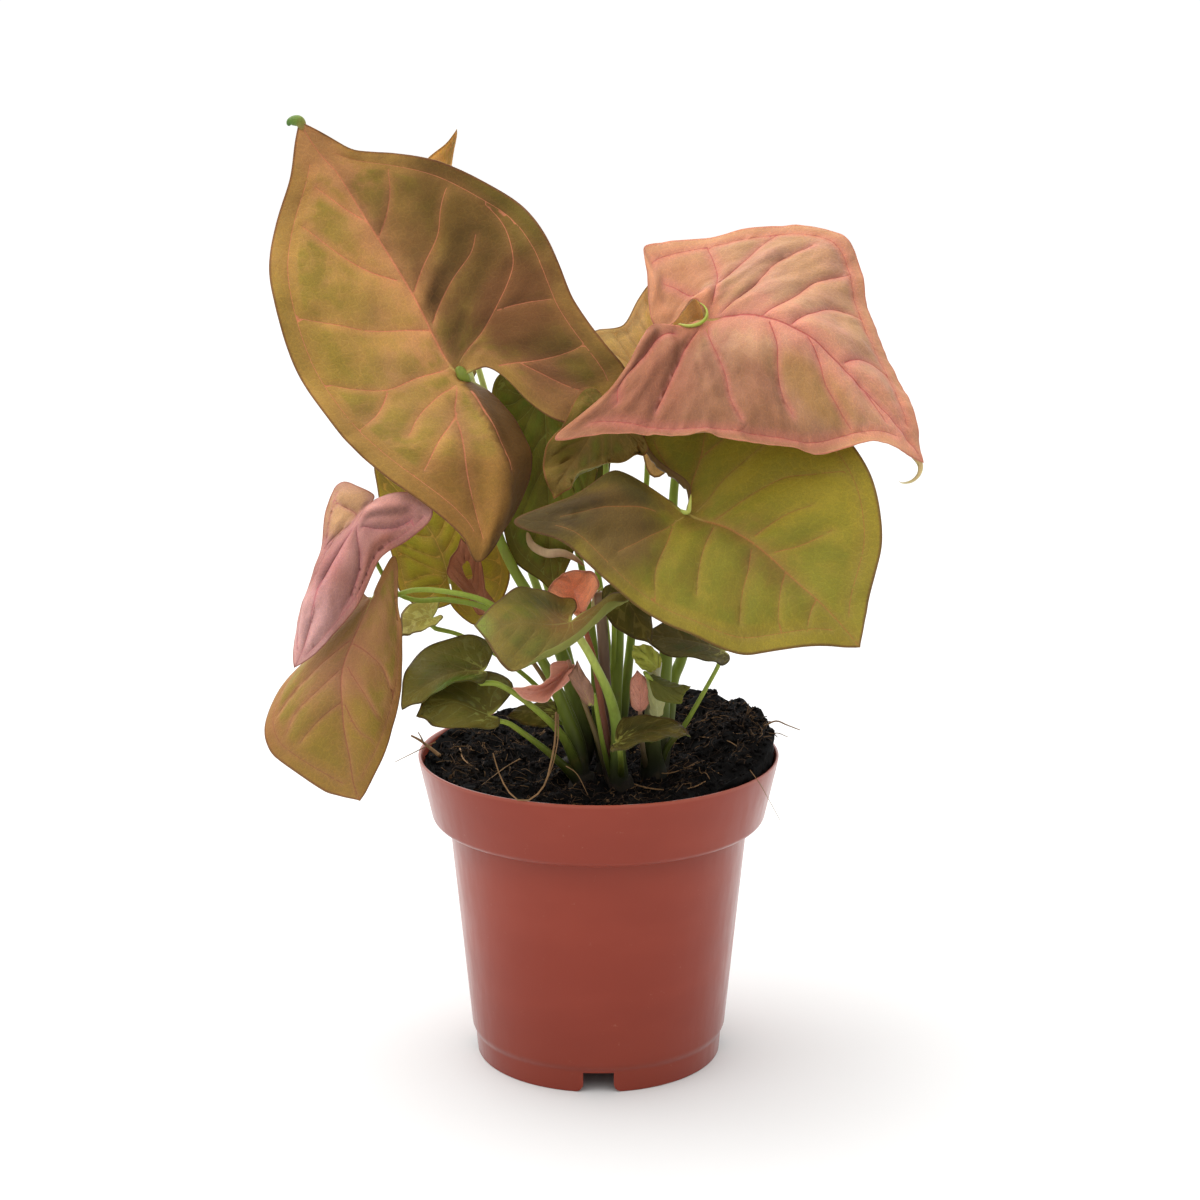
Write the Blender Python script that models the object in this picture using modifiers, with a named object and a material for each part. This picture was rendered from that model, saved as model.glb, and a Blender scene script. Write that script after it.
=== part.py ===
# Arrowhead plant (Syngonium) in a 12 cm nursery pot: pot, peat, five shoots and their leaf blades.
# Metres, +Z up. The pot's foot stands on z = 0 and the pot's axis is the Z axis.
import math
import bpy
import bmesh
import numpy as np
from mathutils import Matrix, Vector

MM = 0.001
GAP = 0.3 * MM

# Pot
POT_HEIGHT = 104 * MM
RIM_RADIUS = 60 * MM
COLLAR_FOOT_Z = 82 * MM
COLLAR_FOOT_RADIUS = 55.5 * MM
NECK_RADIUS = 49.8 * MM
BODY_FOOT_Z = 9.5 * MM
BODY_FOOT_RADIUS = 42.9 * MM
FOOT_Z = 7.5 * MM
FOOT_RADIUS = 41.8 * MM
BASE_RADIUS = 41.2 * MM
LIP_BEVEL = 0.5 * MM
COLLAR_ROUND = 1.2 * MM
SHOULDER = 2 * MM
WALL = 1.2 * MM
FLOOR_Z = 8.2 * MM
POT_SIDES = 48
NOTCH_WIDTH = 10 * MM
NOTCH_HEIGHT = 7 * MM
NOTCH_CORNER = 3 * MM
NOTCH_DEPTH = 8 * MM
NOTCH_COUNT = 4

# Peat
PEAT_LEVEL = 101 * MM
PEAT_HEAP = 9 * MM
PEAT_BACK = 3 * MM
PEAT_LUMP = 1.2 * MM
PEAT_CRUMB = 0.8 * MM
PEAT_CHAMFER = 6 * MM
PEAT_RINGS = 7

# Shoots: the crowns stand in plain holes in the peat
CROWN_RADIUS = 5 * MM
CROWN_DEPTH = 9 * MM
CROWN_TOP = 4 * MM
CROWN_HOLE = CROWN_RADIUS + 0.4 * MM
HOLE_HEIGHT = 28 * MM
HOLE_MIDDLE = 106 * MM
CROWN_SIDES = 12
CROWNS = dict(a=(-5, -28), b=(7, -31), c=(19, -22), d=(3, -15), e=(-9, -13))

# Blades
BLADE_THICKNESS = 0.8 * MM
FAN_CENTRE = np.array([0.04, 0.0])
STALK_SEAT = np.array([0.05, 0.0])
STALK_SEAT_STEPS = np.array([[0.0, 0.0], [0.01, 0.0], [0.0, 0.01]])

# The view that the leaf and stem marks are read in, solved from the pot's known size: a mark is a
# column and a row of the 1200 x 1200 picture, and a depth in mm behind the pot's axis
VIEW_BACK = 800 * MM
VIEW_HEIGHT = 340 * MM
VIEW_TILT = 0.2265
VIEW_FOCUS = 2497.0
AXIS_COLUMN = 598.5
LEVEL_ROW = 600.0

# One half of a flat blade, heart at 0 and tip at 1 along the midrib, from the notch round to the tip
HALF_OUTLINE = [(-0.02, 0.0), (-0.13, 0.035), (-0.30, 0.115), (-0.45, 0.225), (-0.505, 0.315),
                (-0.44, 0.405), (-0.24, 0.475), (0.02, 0.50), (0.28, 0.46), (0.52, 0.355),
                (0.72, 0.225), (0.87, 0.105), (0.95, 0.045), (1.0, 0.0)]

# Where each named mark lies on the flat blade: on the midrib, and mirrored on its left and right
MIDRIB_MARKS = dict(heart=0.0, vein_low=0.25, middle=0.5, vein_high=0.8, tip=1.0)
SIDE_MARKS = dict(throat=(-0.13, 0.035), inner=(-0.30, 0.115), ear=(-0.45, 0.225),
                  lobe=(-0.505, 0.315), heel=(-0.44, 0.405), flank=(-0.24, 0.475),
                  wide=(0.12, 0.493), shoulder=(0.38, 0.428), slope=(0.60, 0.308),
                  neck=(0.87, 0.105))

# Each blade by the marks that its shape needs
LEAVES = {
    "top_left": dict(
        heart=(459, 374, -22), vein_low=(420, 308, -16), middle=(381, 243, -10),
        vein_high=(333, 170, -6), tip=(291, 122, -8), throat_left=(492, 391, -27),
        inner_left=(533, 450, -34), ear_left=(519, 508, -40), lobe_left=(484, 557, -46),
        heel_left=(462, 539, -46), flank_left=(392, 481, -44), wide_left=(325, 416, -36),
        shoulder_left=(288, 345, -30), slope_left=(272, 270, -22), neck_left=(289, 170, -10),
        throat_right=(490, 370, -24), inner_right=(530, 396, -26), ear_right=(580, 421, -28),
        lobe_right=(618, 402, -30), flank_right=(600, 333, -32), wide_right=(558, 260, -30),
        shoulder_right=(517, 206, -24), slope_right=(440, 161, -16), neck_right=(352, 149, -8)),
    "top_right": dict(
        heart=(709, 320, -12), vein_low=(754, 315, -16), middle=(815, 341, -24),
        vein_high=(886, 410, -24), tip=(925, 463, -14), throat_left=(690, 308, -6),
        inner_left=(660, 292, 0), ear_left=(645, 264, 10), lobe_left=(650, 248, 16),
        flank_left=(746, 235, 20), wide_left=(842, 234, 18), shoulder_left=(866, 295, 8),
        slope_left=(888, 345, -2), neck_left=(919, 420, -14), throat_right=(684, 323, -14),
        inner_right=(652, 318, -18), ear_right=(612, 383, -38), lobe_right=(561, 434, -50),
        flank_right=(632, 438, -50), wide_right=(710, 434, -50), shoulder_right=(768, 447, -48),
        slope_right=(820, 457, -44), neck_right=(890, 450, -34)),
    "right": dict(
        heart=(689, 515, -40), vein_low=(730, 530, -46), middle=(770, 557, -54),
        vein_high=(823, 606, -66), tip=(860, 648, -74), throat_left=(683, 495, -37),
        inner_left=(652, 473, -32), ear_left=(640, 428, -26), lobe_left=(655, 405, -22),
        flank_left=(720, 385, -20), wide_left=(805, 398, -26), shoulder_left=(868, 472, -38),
        slope_left=(879, 545, -50), neck_left=(867, 612, -66), throat_right=(664, 498, -41),
        inner_right=(616, 470, -42), ear_right=(568, 498, -50), lobe_right=(514, 520, -54),
        flank_right=(583, 561, -62), wide_right=(644, 611, -68), shoulder_right=(692, 636, -72),
        slope_right=(745, 651, -74), neck_right=(825, 646, -74)),
    "left_pink": dict(
        heart=(358, 521, -46), middle=(318, 592, -56), tip=(294, 668, -54),
        throat_left=(374, 508, -43), inner_left=(398, 499, -40), ear_left=(424, 503, -39),
        lobe_left=(432, 509, -41), flank_left=(403, 541, -44), wide_left=(377, 566, -47),
        shoulder_left=(361, 600, -49), slope_left=(342, 626, -52), neck_left=(312, 657, -53),
        throat_right=(364, 508, -42), inner_right=(364, 492, -38), ear_right=(352, 483, -34),
        lobe_right=(342, 483, -33), flank_right=(323, 522, -39), wide_right=(319, 556, -43),
        shoulder_right=(309, 584, -46), slope_right=(301, 612, -48), neck_right=(293, 650, -52)),
    "left_hanging": dict(
        heart=(371, 600, -44), vein_low=(345, 660, -52), middle=(342, 703, -58),
        vein_high=(350, 760, -60), tip=(360, 801, -58), throat_left=(374, 593, -42),
        inner_left=(379, 580, -40), ear_left=(387, 564, -38), lobe_left=(394, 556, -37),
        flank_left=(398, 606, -40), wide_left=(403, 650, -44), shoulder_left=(400, 697, -47),
        slope_left=(392, 731, -50), neck_left=(372, 781, -56), throat_right=(368, 597, -42),
        inner_right=(361, 590, -38), ear_right=(350, 584, -34), lobe_right=(338, 590, -32),
        flank_right=(320, 640, -38), wide_right=(280, 690, -45), shoulder_right=(264, 728, -50),
        slope_right=(275, 757, -52), neck_right=(328, 793, -56)),
    "centre": dict(
        heart=(570, 622, -56), middle=(524, 622, -66), tip=(474, 626, -70),
        throat_left=(580, 614, -55), inner_left=(598, 603, -52), ear_left=(617, 593, -52),
        lobe_left=(634, 596, -54), flank_left=(583, 634, -68), wide_left=(532, 666, -78),
        shoulder_left=(507, 668, -80), slope_left=(492, 661, -78), neck_left=(481, 641, -74),
        throat_right=(572, 617, -52), inner_right=(575, 611, -46), ear_right=(577, 605, -38),
        lobe_right=(574, 600, -32), flank_right=(556, 595, -38), wide_right=(535, 588, -46),
        shoulder_right=(515, 588, -52), slope_right=(500, 599, -58), neck_right=(484, 614, -66)),
    "low_left": dict(
        heart=(482, 671, -52), middle=(440, 678, -60), tip=(402, 710, -62), lobe_left=(484, 683, -58),
        flank_left=(468, 680, -66), wide_left=(448, 684, -70), slope_left=(427, 699, -68),
        inner_right=(489, 663, -44), lobe_right=(493, 646, -34), flank_right=(470, 635, -34),
        wide_right=(436, 643, -38), shoulder_right=(414, 657, -44), slope_right=(405, 673, -50),
        neck_right=(401, 696, -58)),
    "soil_left": dict(
        heart=(489, 715, -54), middle=(452, 702, -58), tip=(416, 716, -62), lobe_left=(498, 727, -56),
        flank_left=(483, 728, -58), wide_left=(462, 728, -58), slope_left=(432, 726, -62),
        inner_right=(503, 704, -44), lobe_right=(514, 686, -32), flank_right=(487, 671, -38),
        wide_right=(452, 677, -46), slope_right=(423, 695, -56)),
    "behind_left": dict(
        heart=(448, 576, -12), middle=(428, 525, -4), tip=(398, 470, 4), inner_left=(442, 597, -14),
        lobe_left=(428, 612, -18), flank_left=(400, 592, -14), wide_left=(393, 560, -10),
        inner_right=(463, 602, -13), lobe_right=(484, 626, -14), flank_right=(510, 578, -6),
        wide_right=(492, 520, 0)),
    "back_left": dict(
        heart=(447, 262, 12), middle=(450, 205, 14), tip=(457, 129, 6), lobe_left=(405, 320, 8),
        wide_left=(400, 230, 12), slope_left=(426, 160, 8), lobe_right=(490, 330, 10),
        wide_right=(496, 235, 14), slope_right=(452, 172, 12)),
    "back_mid": dict(
        heart=(640, 375, 6), middle=(662, 325, 12), tip=(676, 258, 20), lobe_left=(583, 378, -2),
        wide_left=(600, 329, 4), shoulder_left=(622, 325, 8), slope_left=(636, 303, 12),
        neck_left=(655, 277, 16), lobe_right=(665, 440, -4), wide_right=(705, 372, 10),
        slope_right=(700, 300, 20)),
    "middle": dict(
        heart=(600, 430, -38), middle=(577, 460, -34), tip=(554, 499, -38), lobe_left=(640, 447, -34),
        wide_left=(620, 468, -36), shoulder_left=(602, 471, -38), slope_left=(585, 480, -40),
        neck_left=(564, 492, -40), lobe_right=(588, 405, -36), wide_right=(560, 432, -38),
        shoulder_right=(546, 444, -37), slope_right=(543, 466, -38), neck_right=(547, 484, -39)),
    "dark_middle": dict(
        heart=(543, 462, -16), middle=(548, 525, -19), tip=(556, 596, -20), lobe_left=(580, 415, -18),
        wide_left=(594, 490, -22), slope_left=(575, 548, -21), lobe_right=(515, 415, -12),
        wide_right=(502, 500, -14), slope_right=(522, 560, -18)),
    "dark_right": dict(
        heart=(618, 588, -40), middle=(634, 612, -44), tip=(652, 645, -48), lobe_left=(622, 560, -34),
        wide_left=(645, 580, -37), slope_left=(652, 615, -42), lobe_right=(604, 588, -44),
        wide_right=(607, 618, -48), slope_right=(628, 636, -50)),
    "low_right": dict(
        heart=(723, 651, -30), middle=(690, 640, -36), tip=(655, 634, -42), lobe_left=(728, 663, -38),
        wide_left=(700, 659, -44), slope_left=(675, 652, -46), lobe_right=(740, 640, -20),
        wide_right=(702, 610, -22), slope_right=(675, 615, -30)),
    "yellow_left": dict(
        heart=(432, 618, -28), middle=(417, 622, -32), tip=(401, 637, -36), lobe_left=(443, 616, -32),
        wide_left=(430, 627, -38), slope_left=(413, 634, -38), lobe_right=(440, 598, -21),
        wide_right=(415, 602, -23), slope_right=(401, 614, -28)),
    "soil_right": dict(
        heart=(618, 742, -48), middle=(652, 732, -51), tip=(691, 736, -53), lobe_left=(619, 722, -42),
        wide_left=(650, 715, -43), slope_left=(679, 722, -46), lobe_right=(610, 750, -58),
        wide_right=(640, 744, -62), slope_right=(670, 738, -58)),
    "soil_back": dict(
        heart=(556, 714, -28), middle=(535, 712, -31), tip=(507, 716, -35), lobe_left=(553, 723, -31),
        wide_left=(540, 727, -33), slope_left=(521, 724, -35), lobe_right=(557, 704, -22),
        wide_right=(535, 703, -26), slope_right=(515, 708, -31)),
    "coral_leaf": dict(
        heart=(580, 610, -28), middle=(572, 590, -32), tip=(560, 573, -27), flank_left=(566, 607, -25),
        wide_left=(552, 594, -26), flank_right=(590, 597, -30), wide_right=(599, 580, -32)),
    "brown_leaf": dict(
        heart=(489, 608, -22), middle=(472, 578, -26), tip=(460, 539, -28), lobe_left=(479, 613, -22),
        wide_left=(462, 592, -25), lobe_right=(498, 606, -20), wide_right=(492, 590, -22)),
    "pink_curl": dict(
        heart=(570, 664, -40), middle=(552, 680, -46), tip=(512, 688, -50), lobe_left=(566, 660, -36),
        wide_left=(549, 664, -36), lobe_right=(576, 672, -42), wide_right=(540, 702, -52)),
    "pink_leaf": dict(
        heart=(640, 712, -34), middle=(640, 695, -38), tip=(637, 672, -38), lobe_left=(634, 710, -32),
        wide_left=(631, 698, -34), lobe_right=(645, 710, -32), wide_right=(649, 696, -34)),
    "torn_leaf": dict(
        heart=(650, 680, -42), middle=(668, 688, -46), tip=(691, 687, -48), lobe_left=(654, 697, -46),
        wide_left=(680, 704, -50), lobe_right=(648, 676, -39), wide_right=(664, 679, -40)),
    "sheath_leaf": dict(
        heart=(591, 704, -47), middle=(582, 684, -50), tip=(577, 660, -48), lobe_left=(586, 705, -47),
        wide_left=(569, 678, -47), lobe_right=(593, 705, -47), wide_right=(592, 686, -48)),
    "rear_left": dict(
        heart=(442, 306, 34), middle=(420, 350, 50), tip=(392, 420, 76), lobe_left=(490, 300, 30),
        wide_left=(478, 370, 44), slope_left=(446, 410, 64), lobe_right=(405, 250, 30),
        wide_right=(362, 300, 50), slope_right=(352, 360, 64)),
    "rear_right": dict(
        heart=(760, 346, 34), middle=(785, 400, 52), tip=(815, 500, 79.5), lobe_left=(800, 290, 36),
        wide_left=(835, 350, 50), slope_left=(835, 430, 66), lobe_right=(700, 330, 34),
        wide_right=(705, 410, 48), slope_right=(748, 460, 64)),
    "rear_mid": dict(
        heart=(573, 450, 26), middle=(570, 495, 36), tip=(566, 560, 46), lobe_left=(600, 425, 24),
        wide_left=(608, 480, 32), lobe_right=(545, 425, 24), wide_right=(532, 480, 32)),
}

# Each stalk: its crown, its radii in mm at the foot and at the leaf, and its route
STEMS = {
    "low_left": dict(crown="a", radii=(1.5, 0.9), route=[
        (575, 762, -30), (560, 733, -36), (533, 707, -44), (500, 685, -49)]),
    "soil_left": dict(crown="a", radii=(1.3, 0.8), route=[
        (572, 774, -31), (548, 752, -36), (523, 733, -41), (505, 722, -46)]),
    "left_hanging": dict(crown="a", radii=(1.8, 0.8), route=[
        (578, 750, -28), (566, 715, -30), (548, 672, -34), (520, 630, -38), (490, 604, -40),
        (455, 593, -40), (415, 590, -36), (386, 600, -34)]),
    "left_pink": dict(crown="a", radii=(1.5, 0.7), route=[
        (580, 748, -26), (563, 700, -24), (530, 640, -28), (490, 610, -31), (450, 600, -31),
        (415, 600, -30), (392, 588, -28), (372, 552, -29)]),
    "yellow_left": dict(crown="a", radii=(1.0, 0.7), route=[
        (576, 750, -24), (558, 712, -14), (530, 680, -12), (492, 652, -16), (460, 635, -22)]),
    "soil_back": dict(crown="a", radii=(1.0, 0.6), route=[
        (580, 752, -25), (574, 728, -23)]),
    "centre": dict(crown="b", radii=(2.2, 1.3), route=[
        (618, 762, -33), (617, 728, -36), (609, 695, -42), (592, 659, -50), (579, 637, -53)]),
    "coral_leaf": dict(crown="b", radii=(1.2, 0.9), route=[
        (611, 760, -31), (603, 715, -32), (594, 660, -31), (586, 632, -29)]),
    "old_stem": dict(crown="b", radii=(2.2, 1.8), route=[
        (610, 760, -29), (606, 700, -28), (603, 640, -28), (599, 592, -28)]),
    "pink_curl": dict(crown="b", radii=(1.1, 0.6), route=[
        (606, 765, -30), (596, 735, -31), (580, 692, -31)]),
    "sheath_leaf": dict(crown="b", radii=(0.9, 0.7), route=[
        (609, 768, -33), (602, 740, -37)]),
    "soil_right": dict(crown="b", radii=(1.2, 0.9), route=[
        (621, 775, -34), (621, 764, -40)]),
    "stump": dict(crown="c", radii=(3.2, 3.0), route=[
        (652, 760, -23), (652, 720, -27), (653, 680, -30), (655, 662, -30)]),
    "top_right": dict(crown="c", radii=(2.2, 1.3), route=[
        (658, 750, -20), (662, 700, -18), (667, 640, -17), (672, 560, -14), (674, 490, -11),
        (684, 420, -9), (699, 355, -9)]),
    "torn_leaf": dict(crown="c", radii=(1.2, 0.6), route=[
        (650, 755, -24), (655, 725, -30), (657, 696, -33)]),
    "pink_leaf": dict(crown="c", radii=(1.0, 0.7), route=[
        (646, 765, -25), (642, 740, -31)]),
    "low_right": dict(crown="c", radii=(1.0, 0.7), route=[
        (665, 752, -22), (684, 726, -24), (705, 690, -27), (719, 664, -29)]),
    "rear_right": dict(crown="c", radii=(1.8, 1.0), route=[
        (662, 755, -19), (668, 715, -12), (673, 680, -8), (684, 650, -4), (705, 560, 6),
        (735, 440, 20)]),
    "right": dict(crown="d", radii=(2.1, 1.3), route=[
        (609, 760, -17), (614, 715, -20), (618, 660, -22), (622, 600, -24), (640, 550, -29),
        (668, 520, -35)]),
    "back_mid": dict(crown="d", radii=(1.6, 0.9), route=[
        (614, 762, -14), (622, 715, -11), (630, 650, -8), (636, 580, -4), (642, 520, 0),
        (647, 475, 3), (646, 420, 5)]),
    "middle": dict(crown="d", radii=(1.5, 0.9), route=[
        (610, 760, -15), (613, 700, -15), (616, 640, -15), (612, 560, -18), (606, 490, -26)]),
    "dark_right": dict(crown="d", radii=(1.2, 0.8), route=[
        (607, 760, -18), (611, 700, -20), (614, 640, -26)]),
    "dark_middle": dict(crown="d", radii=(1.5, 0.9), route=[
        (604, 765, -15), (598, 720, -14), (593, 640, -13), (580, 560, -12), (560, 500, -10)]),
    "rear_mid": dict(crown="d", radii=(1.4, 0.9), route=[
        (608, 760, -11), (610, 700, -4), (605, 620, 4), (590, 530, 14)]),
    "top_left": dict(crown="e", radii=(2.3, 1.4), route=[
        (585, 745, -14), (575, 700, -15), (560, 650, -16), (535, 605, -18), (512, 566, -20),
        (497, 530, -20), (484, 470, -18), (470, 410, -18)]),
    "behind_left": dict(crown="e", radii=(1.5, 0.9), route=[
        (576, 752, -12), (560, 705, -9), (535, 650, -7), (500, 612, -7), (470, 590, -8)]),
    "back_left": dict(crown="e", radii=(1.7, 1.0), route=[
        (582, 748, -11), (574, 690, -6), (558, 620, -1), (530, 530, 4), (500, 440, 8), (470, 340, 12)]),
    "rear_left": dict(crown="e", radii=(1.7, 1.0), route=[
        (580, 745, -9), (572, 690, 0), (545, 610, 8), (510, 510, 16), (475, 390, 26)]),
    "brown_leaf": dict(crown="a", radii=(1.0, 0.7), route=[
        (577, 750, -22), (560, 705, -17), (524, 650, -17)]),
}

# Colours as the picture shows them, with roughness
POT_COLOUR = (0.25, 0.055, 0.032)
PEAT_COLOUR = (0.012, 0.009, 0.006)
STEM_COLOUR = (0.13, 0.22, 0.035)
OLIVE = (0.16, 0.15, 0.025)
TAN = (0.27, 0.15, 0.055)
SALMON = (0.42, 0.20, 0.12)
PINK = (0.45, 0.20, 0.19)
DARK_GREEN = (0.05, 0.075, 0.015)
CORAL = (0.48, 0.13, 0.07)
BLADE_COLOURS = dict(
    top_left=TAN, top_right=SALMON, right=OLIVE, left_pink=PINK, left_hanging=TAN, centre=OLIVE,
    low_left=DARK_GREEN, soil_left=DARK_GREEN, behind_left=OLIVE, back_left=OLIVE, back_mid=OLIVE,
    middle=OLIVE, dark_middle=DARK_GREEN, dark_right=DARK_GREEN, low_right=DARK_GREEN,
    yellow_left=OLIVE, soil_right=DARK_GREEN, soil_back=DARK_GREEN, coral_leaf=CORAL,
    brown_leaf=CORAL, pink_curl=PINK, pink_leaf=PINK, torn_leaf=OLIVE, sheath_leaf=PINK,
    rear_left=OLIVE, rear_right=OLIVE, rear_mid=DARK_GREEN)

# Points round the margin and rings out from the heart, by how large the blade is
FINE_BLADES = dict(top_left=36, top_right=36, right=36, left_pink=32, left_hanging=32, centre=32)
PLAIN_MARGIN = 20
SMALL_MARGIN = 14
SMALL_BLADES = ("coral_leaf", "brown_leaf", "pink_curl", "pink_leaf", "torn_leaf", "sheath_leaf")


def place(column, row, depth):
    """The point in metres seen at that column and row, that many mm behind the pot's axis."""
    across = (column - AXIS_COLUMN) / VIEW_FOCUS
    rise = (LEVEL_ROW - row) / VIEW_FOCUS
    cos_tilt = math.cos(VIEW_TILT)
    sin_tilt = math.sin(VIEW_TILT)
    ahead = VIEW_BACK + depth * MM
    drop = ahead * (rise * cos_tilt - sin_tilt) / (cos_tilt + rise * sin_tilt)
    reach = ahead * cos_tilt - drop * sin_tilt
    return Vector((across * reach, depth * MM, VIEW_HEIGHT + drop))


def smooth_path(points, count):
    """A smooth curve through the points, read at count places."""
    knots = np.array(points, float)
    knots = np.vstack([2 * knots[0] - knots[1], knots, 2 * knots[-1] - knots[-2]])
    spans = len(knots) - 3
    at = np.linspace(0, spans, count)
    index = np.minimum(at.astype(int), spans - 1)
    t = (at - index)[:, None]
    a, b, c, d = (knots[index + k] for k in range(4))
    return 0.5 * (2 * b + (c - a) * t + (2 * a - 5 * b + 4 * c - d) * t**2
                  + (3 * b - a - 3 * c + d) * t**3)


def even_steps(curve, count):
    """The same curve, read at even steps along its length."""
    lengths = np.linalg.norm(np.diff(curve, axis=0), axis=1)
    travelled = np.concatenate([[0.0], np.cumsum(lengths)])
    at = np.linspace(0, travelled[-1], count)
    return np.stack([np.interp(at, travelled, curve[:, k]) for k in range(2)], axis=1)


def blade_margin(count):
    """The flat blade's closed outline: the notch, the left side, the tip, the right side."""
    left = even_steps(smooth_path(HALF_OUTLINE, 400), count // 2 + 1)
    right = left[::-1][1:-1] * [1, -1]
    return np.vstack([left, right])


def mark_on_flat(name):
    if name in MIDRIB_MARKS:
        return (MIDRIB_MARKS[name], 0.0)
    kind, side = name.rsplit("_", 1)
    along, out = SIDE_MARKS[kind]
    return (along, out if side == "left" else -out)


def plate_kernel(first, second):
    apart = ((first[:, None] - second[None]) ** 2).sum(axis=-1)
    return 0.5 * apart * np.log(np.maximum(apart, 1e-12))


def bend_plate(marks):
    """A thin springy plate pushed through the marks, as a function from flat places to space."""
    flat = np.array([mark_on_flat(name) for name in marks])
    space = np.array([place(*mark) for mark in marks.values()])
    count = len(flat)
    system = np.zeros((count + 3, count + 3))
    system[:count, :count] = plate_kernel(flat, flat)
    system[:count, count] = 1
    system[:count, count + 1:] = flat
    system[count:, :count] = system[:count, count:].T
    weights = np.linalg.solve(system, np.vstack([space, np.zeros((3, 3))]))

    def bent(where):
        where = np.atleast_2d(where)
        return (plate_kernel(where, flat) @ weights[:count] + weights[count]
                + where @ weights[count + 1:])
    return bent


def new_material(name, colour, roughness, subsurface=0.0):
    material = bpy.data.materials.new(name)
    material.use_nodes = True
    shader = material.node_tree.nodes["Principled BSDF"]
    shader.inputs["Base Color"].default_value = (*colour, 1.0)
    shader.inputs["Roughness"].default_value = roughness
    shader.inputs["Subsurface Weight"].default_value = subsurface
    return material


def add_object(name, mesh, collection, material=None):
    thing = bpy.data.objects.new(name, mesh)
    collection.objects.link(thing)
    if material:
        mesh.materials.append(material)
    return thing


def mesh_from(maker, name):
    """A mesh made by the bmesh operators in maker."""
    shape = bmesh.new()
    maker(shape)
    mesh = bpy.data.meshes.new(name)
    shape.to_mesh(mesh)
    shape.free()
    return mesh


def add_boolean(thing, cutter, operation):
    cut = thing.modifiers.new(cutter.name, "BOOLEAN")
    cut.operation = operation
    cut.object = cutter
    cutter.hide_render = True
    cutter.display_type = "WIRE"


def add_screw(thing, sides):
    turn = thing.modifiers.new("turn", "SCREW")
    turn.steps = sides
    turn.render_steps = sides
    turn.use_merge_vertices = True
    turn.merge_threshold = 0.00001


def profile_mesh(name, points, closed=False):
    """A line of points (radius, height) in the XZ plane, ready to be turned."""
    def draw(shape):
        verts = [shape.verts.new((radius, 0, height)) for radius, height in points]
        pairs = list(zip(verts, verts[1:]))
        if closed:
            pairs.append((verts[-1], verts[0]))
        for first, second in pairs:
            shape.edges.new((first, second))
    return mesh_from(draw, name)


def inner_radius(height):
    """The pot's inside radius at a height above its floor."""
    heights = [FLOOR_Z, COLLAR_FOOT_Z - WALL, COLLAR_FOOT_Z + SHOULDER, POT_HEIGHT]
    radii = [BODY_FOOT_RADIUS - WALL, NECK_RADIUS - WALL, COLLAR_FOOT_RADIUS - WALL,
             RIM_RADIUS - WALL]
    return float(np.interp(height, heights, radii))


def pot_profile():
    """Down the outside, across under the floor, and back up the inside to the lip."""
    outside = [
        (RIM_RADIUS - LIP_BEVEL, POT_HEIGHT),
        (RIM_RADIUS, POT_HEIGHT - LIP_BEVEL),
        (COLLAR_FOOT_RADIUS, COLLAR_FOOT_Z + COLLAR_ROUND),
        (COLLAR_FOOT_RADIUS - COLLAR_ROUND, COLLAR_FOOT_Z),
        (NECK_RADIUS, COLLAR_FOOT_Z - COLLAR_ROUND),
        (BODY_FOOT_RADIUS, BODY_FOOT_Z),
        (FOOT_RADIUS, FOOT_Z),
        (BASE_RADIUS, 0.0)]
    underside = [
        (BASE_RADIUS - WALL, 0.0),
        (FOOT_RADIUS - WALL, FLOOR_Z - WALL),
        (0.0, FLOOR_Z - WALL)]
    inside = [
        (0.0, FLOOR_Z),
        (inner_radius(FLOOR_Z), FLOOR_Z),
        (inner_radius(COLLAR_FOOT_Z - WALL), COLLAR_FOOT_Z - WALL),
        (inner_radius(COLLAR_FOOT_Z + SHOULDER), COLLAR_FOOT_Z + SHOULDER),
        (RIM_RADIUS - WALL, POT_HEIGHT)]
    return outside + underside + inside


def notch_cutter():
    """A block through the foot ring, flared at its mouth, where water runs out from the pot."""
    half = NOTCH_WIDTH / 2
    mouth = half + NOTCH_CORNER
    outline = [(-half, NOTCH_HEIGHT), (half, NOTCH_HEIGHT), (half, NOTCH_CORNER),
               (half + 0.3 * NOTCH_CORNER, 0.3 * NOTCH_CORNER), (mouth, 0.0), (mouth, -NOTCH_CORNER)]
    outline += [(-x, z) for x, z in outline[:1:-1]]

    def block(shape):
        verts = [shape.verts.new((x, -NOTCH_DEPTH / 2, z)) for x, z in outline]
        side = shape.faces.new(verts)
        pushed = bmesh.ops.extrude_face_region(shape, geom=[side])["geom"]
        moved = [item for item in pushed if isinstance(item, bmesh.types.BMVert)]
        bmesh.ops.translate(shape, verts=moved, vec=(0, NOTCH_DEPTH, 0))
        bmesh.ops.recalc_face_normals(shape, faces=shape.faces)
    return mesh_from(block, "notch")


def build_pot(parts, cutters):
    pot = add_object("pot", profile_mesh("pot", pot_profile(), closed=True), parts,
                     new_material("terracotta_plastic", POT_COLOUR, 0.38))
    add_screw(pot, POT_SIDES)
    mesh = notch_cutter()
    for index in range(NOTCH_COUNT):
        around = 2 * math.pi * index / NOTCH_COUNT
        cutter = add_object(f"notch_{index}", mesh, cutters)
        cutter.location = (BASE_RADIUS * math.sin(around), -BASE_RADIUS * math.cos(around), 0)
        cutter.rotation_euler.z = around
        add_boolean(pot, cutter, "DIFFERENCE")


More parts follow.
